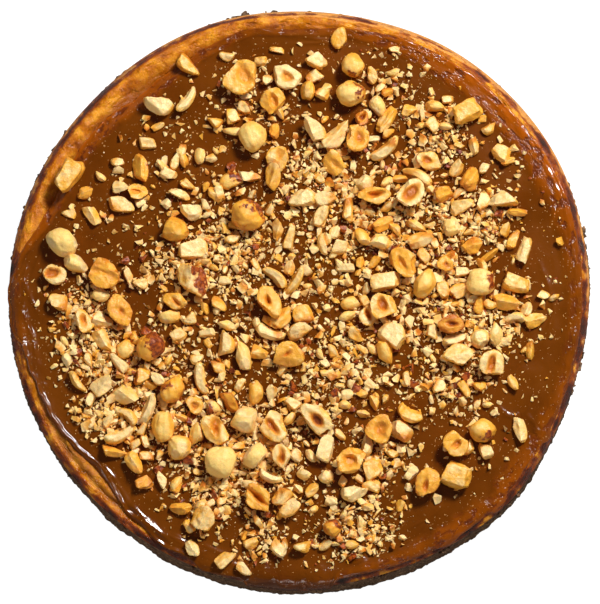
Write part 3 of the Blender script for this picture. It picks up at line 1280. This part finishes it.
def build_chopped(material):
    """The chopped pieces in three heaps. Gives the spots that they and the large nuts take."""
    rng = random.Random(CHOPPED_SEED)
    taken = nut_spots() + [spot_of(row) for row in CHOPPED_PIECES]
    bits = small_bits(taken)
    # Each heap's name, rows and detail, and how deep its pieces sink in.
    heaps = (
        ("chopped_hazelnuts", CHOPPED_PIECES, PIECE_DETAIL, 0.9),
        ("small_chopped_hazelnuts", SMALL_PIECES, SMALL_DETAIL, 0.7),
        ("hazelnut_bits", bits, BIT_DETAIL, 0.6),
    )
    for name, rows, detail, sink in heaps:
        laid = [laid_piece(detail, rng, sink, *row) for row in rows]
        piece = make_heap(name, laid, material)
        piece.data.set_sharp_from_angle(angle=BROKEN_CREASE)
    return taken + [spot_of(row) for row in SMALL_PIECES]


def shard_shapes(count, seed, fewest, most):
    """Angular shards 1 long, each the hull of a few points: points and three-sided faces."""
    rng = random.Random(seed)
    made = []
    while len(made) < count:
        shape = (0.5, 0.5 * rng.uniform(0.5, 1.0), 0.5 * rng.uniform(0.35, 0.8))
        bm = bmesh.new()
        for _ in range(rng.randint(fewest, most)):
            way = Vector((rng.gauss(0, 1), rng.gauss(0, 1), rng.gauss(0, 1))).normalized()
            bm.verts.new([w * s for w, s in zip(way, shape)])
        hull = bmesh.ops.convex_hull(bm, input=bm.verts)
        spare = {v for v in hull["geom_interior"] + hull["geom_unused"] if v.is_valid}
        bmesh.ops.delete(bm, geom=list(spare), context="VERTS")
        bm.verts.index_update()
        points = np.array([v.co for v in bm.verts])
        faces = [[v.index for v in face.verts] for face in bm.faces]
        bm.free()
        low, high = points.min(0), points.max(0)
        made.append(((points - (low + high) / 2) / (high - low).max(), faces))
    return made


def build_chips(material, taken):
    """Chips smaller than the bits, thickest in the drifts."""
    rng = random.Random(CHIP_SEED)
    shapes = shard_shapes(CHIP_SHAPES, CHIP_SEED + 1, *CHIP_POINTS)
    laid = []
    while len(laid) < CHIP_COUNT:
        x, y = drift_spot(rng, CRUMB_DRIFTS)
        share = (len(laid) / CHIP_COUNT) ** 0.6
        size = CHIP_SIZES[0] + (CHIP_SIZES[1] - CHIP_SIZES[0]) * share
        points, faces = shapes[rng.randrange(len(shapes))]
        turn = random_turn(rng, 40)
        tone = min(max(rng.gauss(0.0, 0.24), 0), 1)
        outside = rng.random() < 0.4
        burnt = rng.uniform(0.2, 0.75) * (rng.random() < 0.35)
        skin = float(rng.random() < SKIN_SPECK_CHANCE)
        if not inside_lip(x, y, CHIP_MARGIN) or crowded(x, y, 0.16 * size, taken):
            continue
        taken.append((x, y, 0.2 * size))
        placed = laid_at((points * size) @ turn.T, x, y, 0.2 * size * rng.random())
        paint = same_paint(points, 1.0, 0.0, tone, skin)
        paint[:, 0] -= outside * (points[:, 1] > 0)
        paint[:, 1] += burnt * (points[:, 0] > 0)
        laid.append((placed, faces, paint))
    make_heap("hazelnut_chips", laid, material).data.shade_flat()


def build_crumbs(material):
    """The finest crumbs, scattered over the caramel and the drifts."""
    rng = random.Random(CRUMB_SEED)
    shapes = shard_shapes(CRUMB_SHAPES, CRUMB_SEED + 1, *CRUMB_POINTS)
    laid = []
    while len(laid) < CRUMB_COUNT:
        x, y = drift_spot(rng, CRUMB_DRIFTS)
        size = CRUMB_SIZES[0] + (CRUMB_SIZES[1] - CRUMB_SIZES[0]) * rng.random() ** 2.2
        tone = min(max(rng.gauss(0.02, 0.28), 0), 1)
        skin = float(rng.random() < SKIN_SPECK_CHANCE)
        if not inside_lip(x, y, CRUMB_MARGIN):
            continue
        points, faces = shapes[rng.randrange(len(shapes))]
        placed = laid_at((points * size * 1.2) @ random_turn(rng, 70).T, x, y, 0.15 * size)
        laid.append((placed, faces, same_paint(placed, 1.0, 0.0, tone, skin)))
    make_heap("hazelnut_crumbs", laid, material).data.shade_flat()


def sheet_faces(squares):
    """Faces of a closed sheet: a square grid above, the same grid below, and the edge between."""
    k = squares + 1
    faces = []
    for i in range(squares):
        for j in range(squares):
            a, b, c, d = i * k + j, (i + 1) * k + j, (i + 1) * k + j + 1, i * k + j + 1
            faces.append((a, b, c, d))
            faces.append((a + k * k, d + k * k, c + k * k, b + k * k))
    border = [i * k for i in range(k)]
    border += [squares * k + j for j in range(1, k)]
    border += [i * k + squares for i in range(squares - 1, -1, -1)]
    border += list(range(squares - 1, 0, -1))
    for a, b in zip(border, border[1:] + border[:1]):
        faces.append((b, a, a + k * k, b + k * k))
    return faces


def build_skin_flakes(material):
    """Thin curled flakes of the kernels' dark skin."""
    rng = random.Random(FLAKE_SEED)
    steps = np.arange(FLAKE_DETAIL + 1) / FLAKE_DETAIL * 2 - 1
    u, v = (side.ravel() for side in np.meshgrid(steps, steps, indexing="ij"))
    faces = sheet_faces(FLAKE_DETAIL)
    laid = []
    while len(laid) < FLAKE_COUNT:
        x, y = drift_spot(rng, CRUMB_DRIFTS)
        size = rng.uniform(*FLAKE_SIZES) * rng.uniform(0.6, 1)
        if not inside_lip(x, y, FLAKE_MARGIN):
            continue
        curl = rng.uniform(0.15, 0.5)
        ragged = 1 + 0.25 * swells(flat_spots(u, v), 1.2, rng.randrange(9999))
        narrow = rng.uniform(0.4, 0.8)
        top = np.c_[u * ragged, v * ragged * narrow, curl * u * u + 0.1 * v]
        points = np.vstack([top, top - (0, 0, FLAKE_THICKNESS)]) * size / 2
        points = laid_at(points @ random_turn(rng, 35).T, x, y, 0.1)
        laid.append((points, faces, same_paint(points, 0.0, 0.0, 0.6, 1.0)))
    make_heap("skin_flakes", laid, material)


def build_loose_crust(material):
    """Dark crumbs that stand off the crust's edge."""
    rng = random.Random(LOOSE_CRUST_SEED)
    shapes = shard_shapes(LOOSE_CRUST_SHAPES, LOOSE_CRUST_SEED + 1, *CHIP_POINTS)
    laid = []
    for middle, spread, count in LOOSE_CRUST:
        for _ in range(count):
            angle = math.radians(rng.gauss(middle, spread / 2))
            size = rng.uniform(*LOOSE_CRUST_SIZES)
            radius = float(side_radius(angle)) + rng.uniform(-0.6, 0.5)
            height = float(wall_top(angle)) - rng.uniform(0.2, 2.5)
            points, faces = shapes[rng.randrange(len(shapes))]
            placed = (points * size * 1.3) @ random_turn(rng, 90).T
            placed += (radius * math.cos(angle), radius * math.sin(angle), height)
            laid.append((placed, faces, same_paint(placed, 0.0, 0.0, rng.random(), 0.0)))
    make_heap("loose_crust_crumbs", laid, material, "crust_crumb").data.shade_flat()


def linear(colour):
    """A colour as seen, of 255, as the shader's linear values."""
    shares = [value / 255 for value in colour]
    return (*[s / 12.92 if s < 0.04 else ((s + 0.055) / 1.055) ** 2.4 for s in shares], 1.0)


class NodeSheet:
    """A tree of shader nodes, with short calls for the nodes used here."""

    def __init__(self, tree):
        self.tree = tree

    def put(self, socket, value):
        """Links a socket to another, or sets its value."""
        if isinstance(value, bpy.types.NodeSocket):
            self.tree.links.new(value, socket)
        else:
            socket.default_value = value

    def node(self, kind, inputs=None, **settings):
        """A new node of this kind, with its settings, and its sockets linked or set."""
        made = self.tree.nodes.new(kind)
        for name, value in settings.items():
            setattr(made, name, value)
        for name, value in (inputs or {}).items():
            self.put(made.inputs[name], value)
        return made

    def maths(self, operation, first, second=0.0):
        """The outcome of a sum on two values."""
        return self.node("ShaderNodeMath", {0: first, 1: second}, operation=operation).outputs[0]

    def plus(self, first, second, times):
        """First plus so many times second."""
        return self.maths("ADD", first, self.maths("MULTIPLY", second, times))

    def centred(self, value):
        """A value from 0 to 1 moved to lie round 0."""
        return self.maths("SUBTRACT", value, 0.5)

    def vectors(self, operation, first, second):
        """The outcome of a sum on two places or colours."""
        inputs = {0: first, 1: second}
        return self.node("ShaderNodeVectorMath", inputs, operation=operation).outputs[0]

    def place(self):
        """The place on the cake."""
        return self.node("ShaderNodeTexCoord").outputs["Object"]

    def noise(self, size_mm, detail=2.0, roughness=0.5, where=None, offset=0.0):
        """Noise about size_mm across, from 0 to 1."""
        where = where or self.place()
        if offset:
            where = self.vectors("ADD", where, (offset, 0.37 * offset, 0.0))
        inputs = {"Vector": where, "Detail": detail, "Roughness": roughness}
        if isinstance(size_mm, bpy.types.NodeSocket):
            inputs["Scale"] = self.maths("DIVIDE", 1 / MM, size_mm)
        else:
            inputs["Scale"] = 1 / MM / size_mm
        return self.node("ShaderNodeTexNoise", inputs).outputs["Fac"]

    def ease(self, value, low, high, first=0.0, last=1.0):
        """Goes smoothly from first to last as the value goes from low to high."""
        inputs = {"Value": value, "From Min": low, "From Max": high}
        inputs.update({"To Min": first, "To Max": last})
        made = self.node("ShaderNodeMapRange", inputs, interpolation_type="SMOOTHSTEP")
        return made.outputs["Result"]

    def mix(self, share, first, second, blend="MIX"):
        """The first colour, with this share of the second."""
        inputs = {0: share, 6: first, 7: second}
        made = self.node("ShaderNodeMix", inputs, data_type="RGBA", blend_type=blend)
        return made.outputs[2]

    def laid(self, base, colour, value, low, high, most=1.0):
        """Lays a colour over the base as the value goes from low to high, up to this share."""
        return self.mix(self.ease(value, low, high, 0.0, most), base, linear(colour))

    def tinged(self, base, colour, mask, share, blend="MIX"):
        """Mixes this share of a colour into the base where the mask is 1."""
        return self.mix(self.maths("MULTIPLY", mask, share), base, linear(colour), blend)

    def bump(self, height, depth_mm, normal=None):
        """A normal bent by a height, whose full range stands for this depth."""
        inputs = {"Height": height, "Distance": depth_mm * MM, "Strength": 1.0}
        if normal is not None:
            inputs["Normal"] = normal
        return self.node("ShaderNodeBump", inputs).outputs["Normal"]

    def paint(self):
        """The four values painted on the mesh."""
        made = self.node("ShaderNodeAttribute", attribute_name="paint")
        parts = self.node("ShaderNodeSeparateColor", {0: made.outputs["Color"]})
        return (*parts.outputs[:3], made.outputs["Alpha"])

    def group(self, tree, **values):
        """Places a group and gives its outputs. The value blotch_size is for its Blotch Size."""
        made = self.node("ShaderNodeGroup", node_tree=tree)
        for name, value in values.items():
            self.put(made.inputs[name.replace("_", " ").title()], value)
        return made.outputs


NUMBER = "NodeSocketFloat"
COLOUR = "NodeSocketColor"
WHITE = (1.0, 1.0, 1.0, 1.0)


def new_group(name, inputs, outputs):
    """A node group with these named sockets, and a sheet to fill it in."""
    tree = bpy.data.node_groups.new(name, "ShaderNodeTree")
    for label, kind, value in inputs:
        socket = tree.interface.new_socket(name=label, in_out="INPUT", socket_type=kind)
        socket.default_value = value
    for label, kind in outputs:
        tree.interface.new_socket(name=label, in_out="OUTPUT", socket_type=kind)
    sheet = NodeSheet(tree)
    given = sheet.node("NodeGroupInput").outputs
    result = sheet.node("NodeGroupOutput").inputs
    return tree, sheet, given, result


def toasting_group():
    """Goes from a pale through a golden to a deep colour with the oven's heat, in blotches."""
    inputs = (
        ("Pale", COLOUR, WHITE),
        ("Golden", COLOUR, WHITE),
        ("Deep", COLOUR, WHITE),
        ("Toast", NUMBER, 0.5),
        ("Blotch Size", NUMBER, 4.0),
        ("Blotches", NUMBER, 0.5),
    )
    tree, sheet, given, result = new_group("toasting", inputs, (("Colour", COLOUR),))
    blotch = sheet.noise(given["Blotch Size"], detail=3.0, roughness=0.6)
    spread = sheet.maths("MULTIPLY", sheet.centred(blotch), given["Blotches"])
    heat = sheet.plus(given["Toast"], spread, 2.4)
    first = sheet.mix(sheet.ease(heat, 0.0, 0.55), given["Pale"], given["Golden"])
    sheet.put(result["Colour"], sheet.mix(sheet.ease(heat, 0.5, 1.05), first, given["Deep"]))
    return tree


def speckle_group():
    """Small ragged specks: a mask of the middles of those cells whose chance is under Share."""
    inputs = (("Size", NUMBER, 1.0), ("Share", NUMBER, 0.1), ("Reach", NUMBER, 0.35))
    tree, sheet, given, result = new_group("speckle", inputs, (("Mask", NUMBER),))
    scale = sheet.maths("DIVIDE", 1 / MM, given["Size"])
    shake = {"Vector": sheet.place(), "Scale": sheet.maths("MULTIPLY", scale, 1.3), "Detail": 2.0}
    shake = sheet.node("ShaderNodeTexNoise", shake).outputs["Color"]
    shake = sheet.vectors("SUBTRACT", shake, (0.5, 0.5, 0.5))
    shift = sheet.node("ShaderNodeVectorMath", {0: shake}, operation="SCALE")
    sheet.put(shift.inputs["Scale"], sheet.maths("MULTIPLY", given["Size"], 1.6 * MM))
    where = sheet.vectors("ADD", sheet.place(), shift.outputs[0])
    cells = sheet.node("ShaderNodeTexVoronoi", {"Vector": where, "Scale": scale})
    chance = sheet.node("ShaderNodeSeparateColor", {0: cells.outputs["Color"]}).outputs[0]
    chosen = sheet.maths("LESS_THAN", chance, given["Share"])
    near = sheet.maths("LESS_THAN", cells.outputs["Distance"], given["Reach"])
    sheet.put(result["Mask"], sheet.maths("MULTIPLY", chosen, near))
    return tree


def grain_group():
    """The fine grain of baked and crushed food, as a height and as a mask of its low spots."""
    inputs = (("Size", NUMBER, 1.0), ("Coarseness", NUMBER, 0.5))
    outputs = (("Height", NUMBER), ("Low", NUMBER))
    tree, sheet, given, result = new_group("grain", inputs, outputs)
    fine = sheet.noise(given["Size"], detail=4.0, roughness=0.65)
    coarse = sheet.noise(sheet.maths("MULTIPLY", given["Size"], 3.7), detail=2.0)
    sheet.put(result["Height"], sheet.plus(fine, coarse, given["Coarseness"]))
    sheet.put(result["Low"], sheet.ease(fine, 0.5, 0.34))
    return tree


def ripples_group():
    """Glossy wrinkles that run along the cake's rim, as a height."""
    inputs = (("Size", NUMBER, 2.0), ("Stretch", NUMBER, 3.0))
    tree, sheet, given, result = new_group("rim_ripples", inputs, (("Height", NUMBER),))
    x, y, height = sheet.node("ShaderNodeSeparateXYZ", {0: sheet.place()}).outputs
    square = sheet.maths("ADD", sheet.maths("POWER", x, 2.0), sheet.maths("POWER", y, 2.0))
    around = sheet.maths("MULTIPLY", sheet.maths("ARCTAN2", y, x), MEAN_RADIUS * MM)
    around = sheet.maths("DIVIDE", around, given["Stretch"])
    where = {0: sheet.maths("SQRT", square), 1: around, 2: height}
    where = sheet.node("ShaderNodeCombineXYZ", where).outputs[0]
    swell = sheet.noise(given["Size"], detail=3.0, roughness=0.55, where=where)
    ridge = sheet.maths("ABSOLUTE", sheet.centred(swell))
    sheet.put(result["Height"], sheet.plus(swell, ridge, -1.2))
    return tree


TOASTING = toasting_group()
SPECKLE = speckle_group()
GRAIN = grain_group()
RIPPLES = ripples_group()


def new_material(name):
    """A material with one plain shader, a sheet for its nodes, and the shader's sockets."""
    material = bpy.data.materials.new(name)
    material.use_nodes = True
    material.node_tree.nodes.clear()
    sheet = NodeSheet(material.node_tree)
    shader = sheet.node("ShaderNodeBsdfPrincipled")
    end = sheet.node("ShaderNodeOutputMaterial")
    sheet.put(end.inputs["Surface"], shader.outputs["BSDF"])
    return material, sheet, shader.inputs


def kernel_material():
    """Roasted hazelnut: creamy where cut, golden outside, browned hollows, patches of skin."""
    material, sheet, shader = new_material("roasted_kernel")
    cut, hollow, tone, skin = sheet.paint()
    outside = sheet.maths("SUBTRACT", 1.0, cut)
    flesh = sheet.group(
        TOASTING,
        pale=sheet.mix(outside, linear(CREAM), linear(BLANCHED)),
        golden=linear(GOLDEN),
        deep=linear(TOASTED),
        toast=sheet.plus(tone, outside, 0.1),
        blotch_size=5.0,
        blotches=0.5,
    )["Colour"]
    grain = sheet.group(GRAIN, size=0.55, coarseness=0.8)
    flesh = sheet.tinged(flesh, GOLDEN, grain["Low"], 0.3, "MULTIPLY")
    browned = sheet.plus(hollow, grain["Height"], 0.12)
    flesh = sheet.laid(flesh, TAN, browned, 0.1, 0.42, 0.9)
    flesh = sheet.laid(flesh, TOASTED, browned, 0.34, 0.72, 0.92)
    flesh = sheet.laid(flesh, NUT_BROWN, browned, 0.74, 1.0)
    patch = sheet.noise(3.4, detail=3.0, roughness=0.55, offset=3.0)
    limit = sheet.maths("SUBTRACT", 1.02, sheet.maths("MULTIPLY", skin, 0.75))
    edge = sheet.maths("SUBTRACT", patch, limit)
    tinted = sheet.laid(flesh, TOASTED, edge, -0.12, 0.0, 0.55)
    veins = sheet.noise(1.6, detail=3.0, roughness=0.6)
    bark = sheet.laid(linear(NUT_SKIN), NUT_BARK, veins, 0.38, 0.62)
    skinned = sheet.ease(edge, -0.012, 0.02)
    sheet.put(shader["Base Color"], sheet.mix(skinned, tinted, bark))
    sheet.put(shader["Roughness"], sheet.ease(grain["Height"], 0.5, 1.2, 0.24, 0.46))
    broken = sheet.node("ShaderNodeTexVoronoi", {"Vector": sheet.place(), "Scale": 420.0})
    facets = sheet.bump(sheet.maths("MULTIPLY", broken.outputs["Distance"], cut), 0.4)
    relief = sheet.plus(grain["Height"], skinned, 0.6)
    relief = sheet.plus(relief, sheet.noise(2.3, detail=2.0, offset=5.0), 2.4)
    sheet.put(shader["Normal"], sheet.bump(relief, 0.2, normal=facets))
    shader["Specular IOR Level"].default_value = 0.5
    shader["Subsurface Weight"].default_value = 0.12
    shader["Subsurface Radius"].default_value = (1.0, 0.5, 0.12)
    shader["Subsurface Scale"].default_value = 0.0009
    return material


def caramel_material():
    """Poured caramel: deep brown, amber where thin, with a satin gloss and pale nut dust."""
    material, sheet, shader = new_material("poured_caramel")
    thin, amber, _, _ = sheet.paint()
    cloud = sheet.noise(22.0, detail=3.0, roughness=0.55)
    drawn_out = {"Vector": sheet.place(), "Scale": (1.0, 0.45, 1.0)}
    drawn_out = sheet.node("ShaderNodeMapping", drawn_out).outputs[0]
    streak = sheet.noise(6.0, detail=3.0, roughness=0.6, where=drawn_out)
    body = sheet.laid(linear(CARAMEL_BROWN), CARAMEL_PALE, cloud, 0.3, 0.7)
    body = sheet.laid(body, CARAMEL_PALE, streak, 0.55, 0.75, 0.25)
    glow = sheet.plus(amber, sheet.centred(streak), 0.7)
    body = sheet.laid(body, CARAMEL_AMBER, glow, 0.2, 1.0, 0.8)
    body = sheet.laid(body, CARAMEL_FILM, thin, 0.35, 0.95, 0.7)
    wrinkled = sheet.group(RIPPLES, size=2.8, stretch=2.2)["Height"]
    film = sheet.ease(sheet.maths("MAXIMUM", amber, thin), 0.2, 0.7)
    creased = sheet.maths("MULTIPLY", sheet.ease(wrinkled, 0.44, 0.26, 0.0, 0.75), film)
    body = sheet.mix(creased, body, linear(SCORCH_RED))
    coarse = sheet.group(SPECKLE, size=1.6, share=0.16, reach=0.14)["Mask"]
    fine = sheet.group(SPECKLE, size=1.0, share=0.15, reach=0.26)["Mask"]
    strewn = sheet.ease(sheet.noise(14.0, detail=2.0, offset=6.0), 0.4, 0.65, 0.25, 0.8)
    dust = sheet.maths("MULTIPLY", sheet.maths("MAXIMUM", coarse, fine), strewn)
    sheet.put(shader["Base Color"], sheet.mix(dust, body, linear(NUT_DUST)))
    gloss = sheet.ease(cloud, 0.25, 0.75, 0.11, 0.19)
    sheet.put(shader["Roughness"], sheet.plus(gloss, dust, 0.4))
    swell = sheet.noise(4.5, detail=3.0, roughness=0.5)
    lifted = sheet.plus(swell, dust, 0.25)
    lifted = sheet.plus(lifted, wrinkled, sheet.maths("MULTIPLY", film, 5.0))
    sheet.put(shader["Normal"], sheet.bump(lifted, 0.22))
    shader["Specular IOR Level"].default_value = 0.26
    shader["Coat Weight"].default_value = 0.2
    shader["Coat Roughness"].default_value = 0.06
    return material


def baked_material():
    """The filling's baked rim: golden and moist, tan outside, scorched in bands."""
    material, sheet, shader = new_material("baked_filling")
    tan, scorch, sunk, inner = sheet.paint()
    flesh = sheet.group(
        TOASTING,
        pale=linear(RIM_PALE),
        golden=linear(RIM_GOLD),
        deep=linear(RIM_DEEP),
        toast=0.45,
        blotch_size=6.5,
        blotches=1.2,
    )["Colour"]
    grain = sheet.group(GRAIN, size=0.8, coarseness=0.9)
    ragged = sheet.maths("SUBTRACT", grain["Height"], 0.9)
    ragged = sheet.maths("MULTIPLY", ragged, 0.5)
    flesh = sheet.laid(flesh, RIM_TAN, sheet.maths("ADD", tan, ragged), 0.25, 0.75)
    flesh = sheet.tinged(flesh, RIM_OLIVE, sunk, 0.6)
    flesh = sheet.tinged(flesh, RIM_DEEP, grain["Low"], 0.18)
    flesh = sheet.laid(flesh, CARAMEL_STAIN, sheet.plus(inner, ragged, 0.3), 0.36, 0.7, 0.9)
    cloud = sheet.noise(5.0, detail=4.0, roughness=0.6, offset=2.0)
    charred = sheet.maths("ADD", scorch, ragged)
    charred = sheet.maths("ADD", charred, sheet.centred(cloud))
    flesh = sheet.laid(flesh, SCORCH_RUST, charred, 0.15, 0.5)
    flesh = sheet.laid(flesh, SCORCH_RED, charred, 0.42, 0.85)
    flesh = sheet.laid(flesh, SCORCH_BLACK, charred, 0.85, 1.25)
    sheet.put(shader["Base Color"], flesh)
    moist = sheet.noise(9.0, detail=2.0, offset=5.0)
    sheet.put(shader["Roughness"], sheet.ease(moist, 0.38, 0.62, 0.2, 0.42))
    wrinkles = sheet.group(RIPPLES, size=3.0, stretch=2.5)["Height"]
    sheet.put(shader["Normal"], sheet.bump(sheet.plus(grain["Height"], wrinkles, 4.0), 0.34))
    shader["Specular IOR Level"].default_value = 0.28
    shader["Subsurface Weight"].default_value = 0.1
    shader["Subsurface Radius"].default_value = (1.0, 0.45, 0.15)
    shader["Subsurface Scale"].default_value = 0.002
    return material


def crust_material():
    """Dark pressed biscuit crumb with paler and blackened grains."""
    material, sheet, shader = new_material("pressed_crumb")
    grain = sheet.group(GRAIN, size=0.9, coarseness=1.1)
    pale = sheet.group(SPECKLE, size=2.4, share=0.34, reach=0.46)["Mask"]
    black = sheet.group(SPECKLE, size=1.7, share=0.28, reach=0.45)["Mask"]
    patch = sheet.noise(12.0, detail=3.0, offset=1.0)
    base = sheet.laid(linear(CRUST_DARK), CRUST_BROWN, patch, 0.35, 0.7, 0.5)
    base = sheet.tinged(base, CRUST_PALE, pale, 0.6)
    base = sheet.tinged(base, CRUST_BLACK, black, 0.7)
    base = sheet.tinged(base, CRUST_BLACK, grain["Low"], 0.7)
    sheet.put(shader["Base Color"], base)
    sheet.put(shader["Roughness"], sheet.ease(grain["Height"], 0.6, 1.5, 0.9, 0.7))
    lumps = sheet.noise(2.4, detail=4.0, roughness=0.6, offset=4.0)
    sheet.put(shader["Normal"], sheet.bump(sheet.plus(grain["Height"], lumps, 1.5), 1.0))
    shader["Specular IOR Level"].default_value = 0.12
    return material


# The camera, in metres from its target, which is in millimetres, and its lens in millimetres.
CAMERA_DISTANCE = 3.0
CAMERA_TILT = math.radians(6.5)
CAMERA_LENS = 453.5
CAMERA_TARGET = (-0.3, -2.0, 45.0)
SENSOR_WIDTH = 36.0
SEEN_DISTANCE = 100.0

# The studio: a pale floor, and a warm sky under a white backdrop.
FLOOR_SIZE = 40.0
FLOOR_DROP = 0.0002
FLOOR_GREY = (0.24, 0.24, 0.24, 1.0)
SKY_WARMTH = (1.0, 0.93, 0.82, 1.0)

# The lights: azimuth and elevation in degrees, distance and size in metres, watts and colour.
LIGHTS = {
    "key_light": (52, 52, 1.5, 0.3, 27.0, (1.0, 0.985, 0.96)),
    "left_fill": (200, 28, 1.6, 0.35, 2.0, (1.0, 1.0, 1.0)),
    "front_fill": (275, 24, 1.6, 0.35, 2.5, (1.0, 1.0, 1.0)),
}


def place_camera():
    """The camera that looks down on the cake, tilted a little to the front."""
    data = bpy.data.cameras.new("overhead_camera")
    data.lens = CAMERA_LENS
    data.sensor_width = SENSOR_WIDTH
    data.sensor_fit = "HORIZONTAL"
    data.clip_end = SEEN_DISTANCE
    camera = bpy.data.objects.new("overhead_camera", data)
    back = Vector((0, -math.sin(CAMERA_TILT), math.cos(CAMERA_TILT)))
    camera.location = Vector(CAMERA_TARGET) * MM + back * CAMERA_DISTANCE
    camera.rotation_euler = (CAMERA_TILT, 0, 0)
    bpy.context.scene.collection.objects.link(camera)
    bpy.context.scene.camera = camera


def lay_floor():
    """A plain floor, white to the camera and grey in the light that it throws back."""
    material, sheet, shader = new_material("pale_floor")
    shader["Base Color"].default_value = FLOOR_GREY
    shader["Roughness"].default_value = 0.9
    shader["Specular IOR Level"].default_value = 0.0
    shader["Emission Color"].default_value = WHITE
    seen = sheet.node("ShaderNodeLightPath").outputs["Is Camera Ray"]
    sheet.put(shader["Emission Strength"], seen)
    half = FLOOR_SIZE / 2
    corners = [(-half, -half, 0), (half, -half, 0), (half, half, 0), (-half, half, 0)]
    mesh = bpy.data.meshes.new("floor")
    mesh.from_pydata(corners, [], [(0, 1, 2, 3)])
    mesh.materials.append(material)
    floor = bpy.data.objects.new("floor", mesh)
    floor.location.z = -FLOOR_DROP
    bpy.context.scene.collection.objects.link(floor)


def soft_light(name, azimuth, elevation, distance, size, power, colour):
    """A square soft light aimed at the cake; azimuth runs from +X towards +Y."""
    data = bpy.data.lights.new(name, "AREA")
    data.shape = "SQUARE"
    data.size = size
    data.energy = power
    data.color = colour
    light = bpy.data.objects.new(name, data)
    a, e = math.radians(azimuth), math.radians(elevation)
    way = Vector((math.cos(a) * math.cos(e), math.sin(a) * math.cos(e), math.sin(e)))
    light.location = way * distance
    light.rotation_euler = way.to_track_quat("Z", "Y").to_euler()
    bpy.context.scene.collection.objects.link(light)


def light_sky():
    """Soft warm light all round, bright near the horizon and dim overhead, behind plain white."""
    world = bpy.data.worlds.new("studio")
    world.use_nodes = True
    world.node_tree.nodes.clear()
    sheet = NodeSheet(world.node_tree)
    where = sheet.node("ShaderNodeTexCoord").outputs["Generated"]
    height = sheet.node("ShaderNodeSeparateXYZ", {0: where}).outputs["Z"]
    strength = sheet.ease(height, 0.1, 0.75, 0.45, 0.08)
    glow = sheet.node("ShaderNodeBackground", {"Color": SKY_WARMTH, "Strength": strength})
    backdrop = sheet.node("ShaderNodeBackground", {"Color": WHITE, "Strength": 1.0})
    seen = sheet.node("ShaderNodeLightPath").outputs["Is Camera Ray"]
    shown = {0: seen, 1: glow.outputs[0], 2: backdrop.outputs[0]}
    shown = sheet.node("ShaderNodeMixShader", shown).outputs[0]
    end = sheet.node("ShaderNodeOutputWorld")
    sheet.put(end.inputs["Surface"], shown)
    bpy.context.scene.world = world


def build_studio():
    """The camera, the floor and the light."""
    place_camera()
    lay_floor()
    light_sky()
    for name, setting in LIGHTS.items():
        soft_light(name, *setting)
    bpy.context.scene.view_settings.view_transform = "Standard"
    bpy.context.scene.view_settings.look = "None"


def build_cake():
    """Every piece of the cake, in the order in which they are laid."""
    kernel = kernel_material()
    crust = crust_material()
    build_crust(crust)
    build_filling(baked_material())
    build_caramel(caramel_material())
    build_hazelnuts(kernel)
    taken = build_chopped(kernel)
    build_chips(kernel, taken)
    build_crumbs(kernel)
    build_skin_flakes(kernel)
    build_loose_crust(crust)


build_cake()
build_studio()
